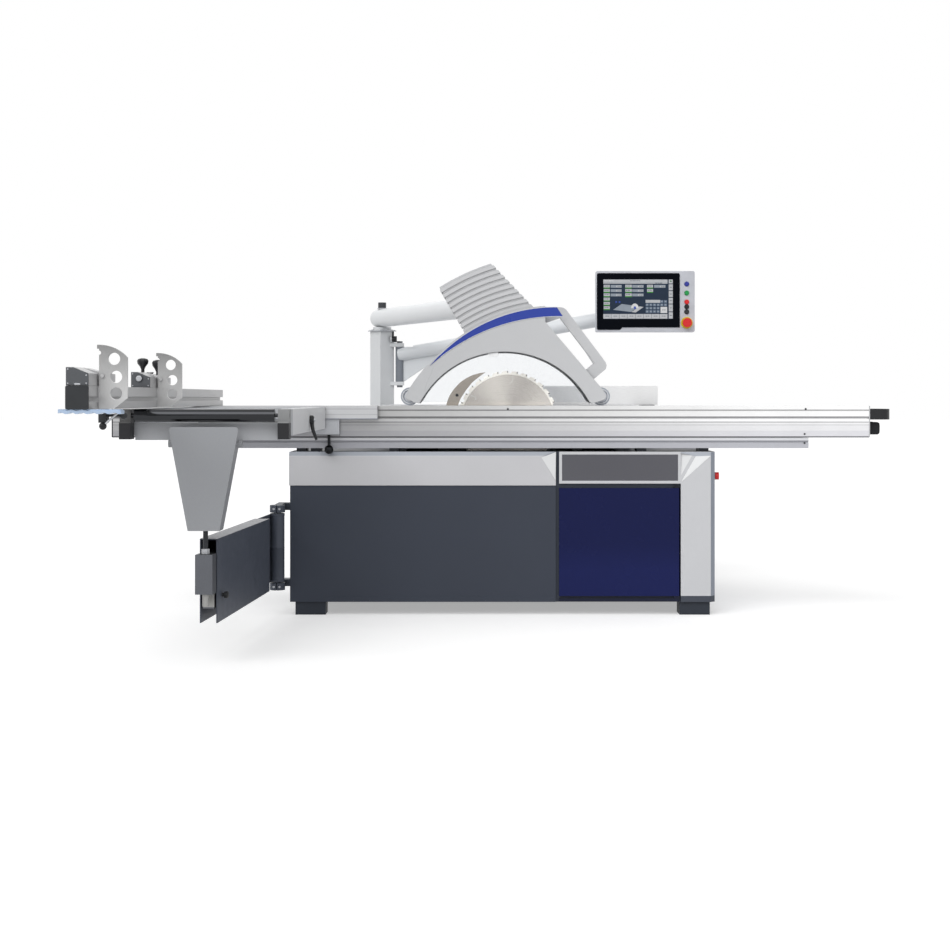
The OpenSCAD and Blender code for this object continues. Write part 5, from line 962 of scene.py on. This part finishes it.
def circle_through(a, b, c):
    """Centre and radius of the circle through three points."""
    d = 2 * (a[0] * (b[1] - c[1]) + b[0] * (c[1] - a[1]) + c[0] * (a[1] - b[1]))
    squares = [p[0] ** 2 + p[1] ** 2 for p in (a, b, c)]
    x = (squares[0] * (b[1] - c[1]) + squares[1] * (c[1] - a[1]) + squares[2] * (a[1] - b[1])) / d
    z = (squares[0] * (c[0] - b[0]) + squares[1] * (a[0] - c[0]) + squares[2] * (b[0] - a[0])) / d
    return (x, z), dist((x, z), a)


# Ends of the hood's cheeks beside the wheels, and the pull handle's rounded loop
HOOD_TOES = [[(-306, 1079), (-325, 1064), (-344, 1048), (-376, 1008), (-405, 966), (-418, 946),
              (-421, 935), (-418, 920), (-405, 908), (-386, 898.5), (-363, 893.5), (-346, 930),
              (-330, 985), (-298, 1060)],
             [(410, 985), (425, 982), (440, 964), (459, 940), (463, 929), (457, 915), (440, 906),
              (418, 899), (397, 893.5), (380, 935)]]
HOOD_HANDLE = [(246, 1318), (262, 1322), (276, 1321), (288, 1313), (455, 1091), (466, 1075),
               (469, 1062), (465, 1047), (413, 1003), (380, 1046), (416, 1074), (266, 1271)]


def hood_fittings():
    """Blue band with pale rims of painted highlight, a grey bead of painted shadow round the
    window, the cheeks' ends, the handle and screws.
    """
    hood, hood_r = (238, 598), 722.0
    tip, middle, end = (-318, 1059), (-74, 1214), (271, 1279)
    inner, inner_r = circle_through(tip, middle, end)

    def angle(centre, p):
        return degrees(atan2(p[1] - centre[1], p[0] - centre[0]))

    upper = arc(hood, hood_r, angle(hood, (244, 1318)), angle(hood, (-318, 1061)), 40, 0)
    lower = arc(inner, inner_r, angle(inner, tip), angle(inner, end), 40, 0)
    outline = [(p[0], p[2]) for p in upper + lower[1:]]
    band = Piece("hood_band", "hood", "blue_paint")
    piece = Piece("hood_fittings", "hood", "light_paint")
    shadow_bead = Piece("window_shadow_bead", "hood", "rubber")
    window, window_r = (15, 698), 425.0
    for face_y, out in HOOD_FACES:
        band.prism(outline, 1, face_y - out * 0.2, face_y + out * 2, "blue")
        # Pale beads along the band's edges: painted highlights
        for rim in (upper[:-4], lower[4:]):
            piece.swept([(p[0], face_y + out * 1.2, p[2]) for p in rim], 1.3, "white", 6)
        # A grey bead round the window's edge: painted shadow
        shadow_bead.swept(arc(window, window_r - 0.8, 29.3, 150.7, 72, face_y), 1.3, "shadow_bead", 6)
        for toe in HOOD_TOES:
            piece.prism(toe, 1, face_y + out * 0.12, face_y - out * 4, "hood")
    # Frosted tab of the window in front of the mast's foot
    piece.plate((-62, -106.3, 1104), (-14, -106.02, 1124), "frost")
    piece.prism(HOOD_HANDLE, 1, -51, 11, "hood")
    places = ((-300, 1035), (330, 1030), (-120, 1165), (225, 1130))
    screws(piece, "guard_hood", [(x, 0, z) for x, z in places], 1, 1, 5)
    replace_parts(band.done(0.3), "guard_band")
    piece.done(0)
    shadow_bead.done(0)


def swing_arm():
    """Swing arm: inverted channel, neck plate, bearing sleeve on the pin and clamp knob."""
    piece = Piece("swing_channel", "arm", "slate_paint")
    hinge, run, side = (-948.0, -465.0), (-0.063692, -0.99797), (0.99797, -0.063692)
    half, sheet, bottom, top, neck = 30.5, 4.0, 145.0, 435.0, 335.0
    low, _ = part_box("swing_arm")
    span = (hinge[1] - low[1] / MM - half * abs(side[1])) / abs(run[1])

    def at(u, v):
        return hinge[0] + u * side[0] + v * run[0], hinge[1] + u * side[1] + v * run[1]

    inner, under = half - sheet, top - sheet
    walls = ((-half, -inner, 2, bottom, under), (inner, half, neck, bottom, under),
             (-half, half, neck, under, top))
    for u0, u1, v0, z0, z1 in walls:
        piece.prism([at(u0, v0), at(u1, v0), at(u1, span), at(u0, span)], 2, z0, z1, "arm")
    end = [at(-inner, neck), at(inner, neck), at(inner, neck + sheet), at(-inner, neck + sheet)]
    piece.prism(end, 2, bottom, under, "arm")
    sleeve = [(145, 29.2), (147, 30.5), (157, 30.5), (158, 29.6), (288, 29.6), (289, 30.3),
              (291, 30.3), (292, 29.6), (422, 29.6), (423, 30.5), (433, 30.5), (434, 29.2),
              (434, 15.4), (145, 15.4)]
    piece.turned((*hinge, 0), 2, sleeve, "arm", 48, True)
    knob = at(half, span * 0.94)
    piece.turned((*knob, 234), 0, [(-0.5, 7), (7, 7), (8, 12), (19, 12), (22, 9)], "black", 24)
    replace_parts(piece.done(0.3), "swing_arm")


def column_cap():
    """Flange plates and bolts between the column and the boom."""
    piece = Piece("column_cap", "base", "light_paint")
    x, y = COLUMN_AT
    foot, bolt_z, washer_z, spread = 1271.5, 1276.5, 1391.8, 1.28
    for half, low, high, look in ((54, 0.2, 5, "zinc"), (50, 5, 8, "column")):
        corners = ((-half, -half), (half, -half), (half, half), (-half, half))
        piece.prism([by_column(*c) for c in corners], 2, foot + low, foot + high, look)
    for dx, dy in ((-40, -14), (14, -42), (40, 12), (-14, 42)):
        piece.bolt((x + dx * spread, y + dy * spread, bolt_z), 2, 1, 7)
    washer = [(0, 26), (3, 26), (4.5, 24.5), (4.5, 15.2)]
    piece.turned((x, y, washer_z), 2, washer, "zinc", 32)
    piece.done(0.4)


def facet_cover():
    """Right cover with the slanted facet cut into the top of its column, the facet painted lighter
    as painted light, and thin plates of painted light and shade on the covers' folds.
    """
    cover = copied("right_cover", "cover_shell", "base")
    wedge = bpy.data.meshes.new("facet_cut")
    corners = [(754.2, -427, 693), (824, -427, 693), (754.2, -427, 568), (754.2, -416, 693)]
    sides = [(0, 2, 1), (0, 1, 3), (1, 2, 3), (2, 0, 3)]
    wedge.from_pydata([[v * MM for v in p] for p in corners], [], sides)
    cutter = placed("facet_cut", wedge)
    cut = cover.modifiers.new("facet", "BOOLEAN")
    cut.operation, cut.object, cut.solver = "DIFFERENCE", cutter, "EXACT"
    bpy.context.view_layer.update()
    graph = bpy.context.evaluated_depsgraph_get()
    shaped = bpy.data.meshes.new_from_object(cover.evaluated_get(graph))
    cover.modifiers.clear()
    cover.data = shaped
    bpy.data.objects.remove(cutter)
    shaped.polygons.foreach_set("use_smooth", [False] * len(shaped.polygons))
    shaped.materials.append(MATS["facet"])
    # The facet is the one face near the front that leans along X; its lighter paint is painted
    # light
    lean, frontal, facet_end = 0.02, 0.9, 0.84
    for polygon in shaped.polygons:
        x, y, _ = polygon.normal
        if abs(x) > lean and abs(y) > frontal and polygon.center[0] < facet_end:
            polygon.material_index = 1
    piece = Piece("cover_folds", "base", "light_paint")
    # Thin plates of painted light and shade: a painted highlight along the fold, painted shade
    # along the top, and painted light on the left cover's facet
    folds = (([(817, 672), (880.5, 674), (759, 565), (759, 571)], "fold_highlight"),
             ([(754.5, 690), (881, 690), (881, 674), (817, 672), (754.5, 685)], "shade"),
             ([(164, 666), (225.5, 689.5), (224, 569)], "facet"))
    for points, look in folds:
        piece.prism(points, 1, COVER_FRONT - 0.35, COVER_FRONT + 0.5, look)
    piece.done(0)


blade_disc()
knife()
screen()
panel_fittings()
carriage_plate("near_plate", "near_block", -2639.0, False)
carriage_plate("far_plate", "far_block", -1739.0, True)
fence_fittings()
table_fittings()
base_fittings()
hood_fittings()
far_knobs()
lock_lever()
swing_arm()
column_cap()
facet_cover()


# Camera, floor and light

CAMERA_AT = (-0.105, -7.425, 0.918)
CAMERA_LENS, CAMERA_SENSOR = 62.7, 36
CAMERA_SHIFT = (-0.003, -0.081)
FLOOR_HALF, FLOOR_GREY, FLOOR_GLOW = 60.0, 0.82, 0.38
WORLD_LIGHT = 0.42
# Way, power and width in degrees of each lamp
SUNS = {"key": ((0.45, 0.8, -0.85), 1.45, 50), "fill": ((-0.35, 0.9, -0.45), 0.45, 60),
        "rim": ((0.1, -0.7, -0.8), 0.35, 60)}

camera = placed("camera", bpy.data.cameras.new("camera"))
camera.location = CAMERA_AT
camera.rotation_euler = (radians(90), 0, 0)
camera.data.lens = CAMERA_LENS
camera.data.sensor_width = CAMERA_SENSOR
camera.data.shift_x, camera.data.shift_y = CAMERA_SHIFT
camera.data.clip_end = 200
bpy.context.scene.camera = camera


def seen(tree):
    """1 for rays from the camera, from metal and through glass, else 0."""
    path = tree.nodes.new("ShaderNodeLightPath")
    total = path.outputs["Is Camera Ray"]
    for ray in ("Is Glossy Ray", "Is Transmission Ray"):
        most = tree.nodes.new("ShaderNodeMath")
        most.operation = "MAXIMUM"
        tree.links.new(total, most.inputs[0])
        tree.links.new(path.outputs[ray], most.inputs[1])
        total = most.outputs[0]
    return total


def floor_material():
    """Pale floor that takes soft shadows and is otherwise white to the eye."""
    m = Mat("studio_floor")
    m.set(Roughness=0.8, Specular_IOR_Level=0.0)
    grey = (FLOOR_GREY, FLOOR_GREY, FLOOR_GREY, 1)
    tone = m.gain(grey, m.span(m.noise(1.5, 3), 0.3, 0.7, 0.99, 1.01))
    glow = m.new("ShaderNodeEmission")
    m.link(m.math("MULTIPLY", seen(m.tree), FLOOR_GLOW), glow.inputs["Strength"])
    add = m.new("ShaderNodeAddShader")
    m.link(m.bsdf.outputs[0], add.inputs[0])
    m.link(glow.outputs[0], add.inputs[1])
    m.link(add.outputs[0], m.tree.nodes["Material Output"].inputs["Surface"])
    return m.done(tone)


def make_floor():
    mesh = bpy.data.meshes.new("floor")
    half = FLOOR_HALF
    corners = [(-half, -half, 0), (half, -half, 0), (half, half, 0), (-half, half, 0)]
    mesh.from_pydata(corners, [], [(0, 1, 2, 3)])
    floor = placed("floor", mesh)
    mesh.materials.append(floor_material())


def make_world():
    """White to the eye and in reflections, softer as light on the object."""
    world = bpy.data.worlds.new("studio")
    bpy.context.scene.world = world
    world.use_nodes = True
    tree = world.node_tree
    shine = tree.nodes["Background"]
    level = tree.nodes.new("ShaderNodeMapRange")
    level.inputs["To Min"].default_value = WORLD_LIGHT
    tree.links.new(seen(tree), level.inputs["Value"])
    shine.inputs["Color"].default_value = (1, 1, 1, 1)
    tree.links.new(level.outputs["Result"], shine.inputs["Strength"])


def soft_sun(name, way, power, angle):
    """Large soft lamp far away, so that the floor is lit evenly."""
    data = bpy.data.lights.new(name, "SUN")
    data.energy = power
    data.angle = radians(angle)
    lamp = placed(name, data)
    lamp.rotation_euler = Vector(way).to_track_quat("-Z", "Y").to_euler()


make_floor()
make_world()
for lamp, (way, power, angle) in SUNS.items():
    soft_sun(lamp, way, power, angle)

bpy.context.scene.view_settings.view_transform = "Standard"
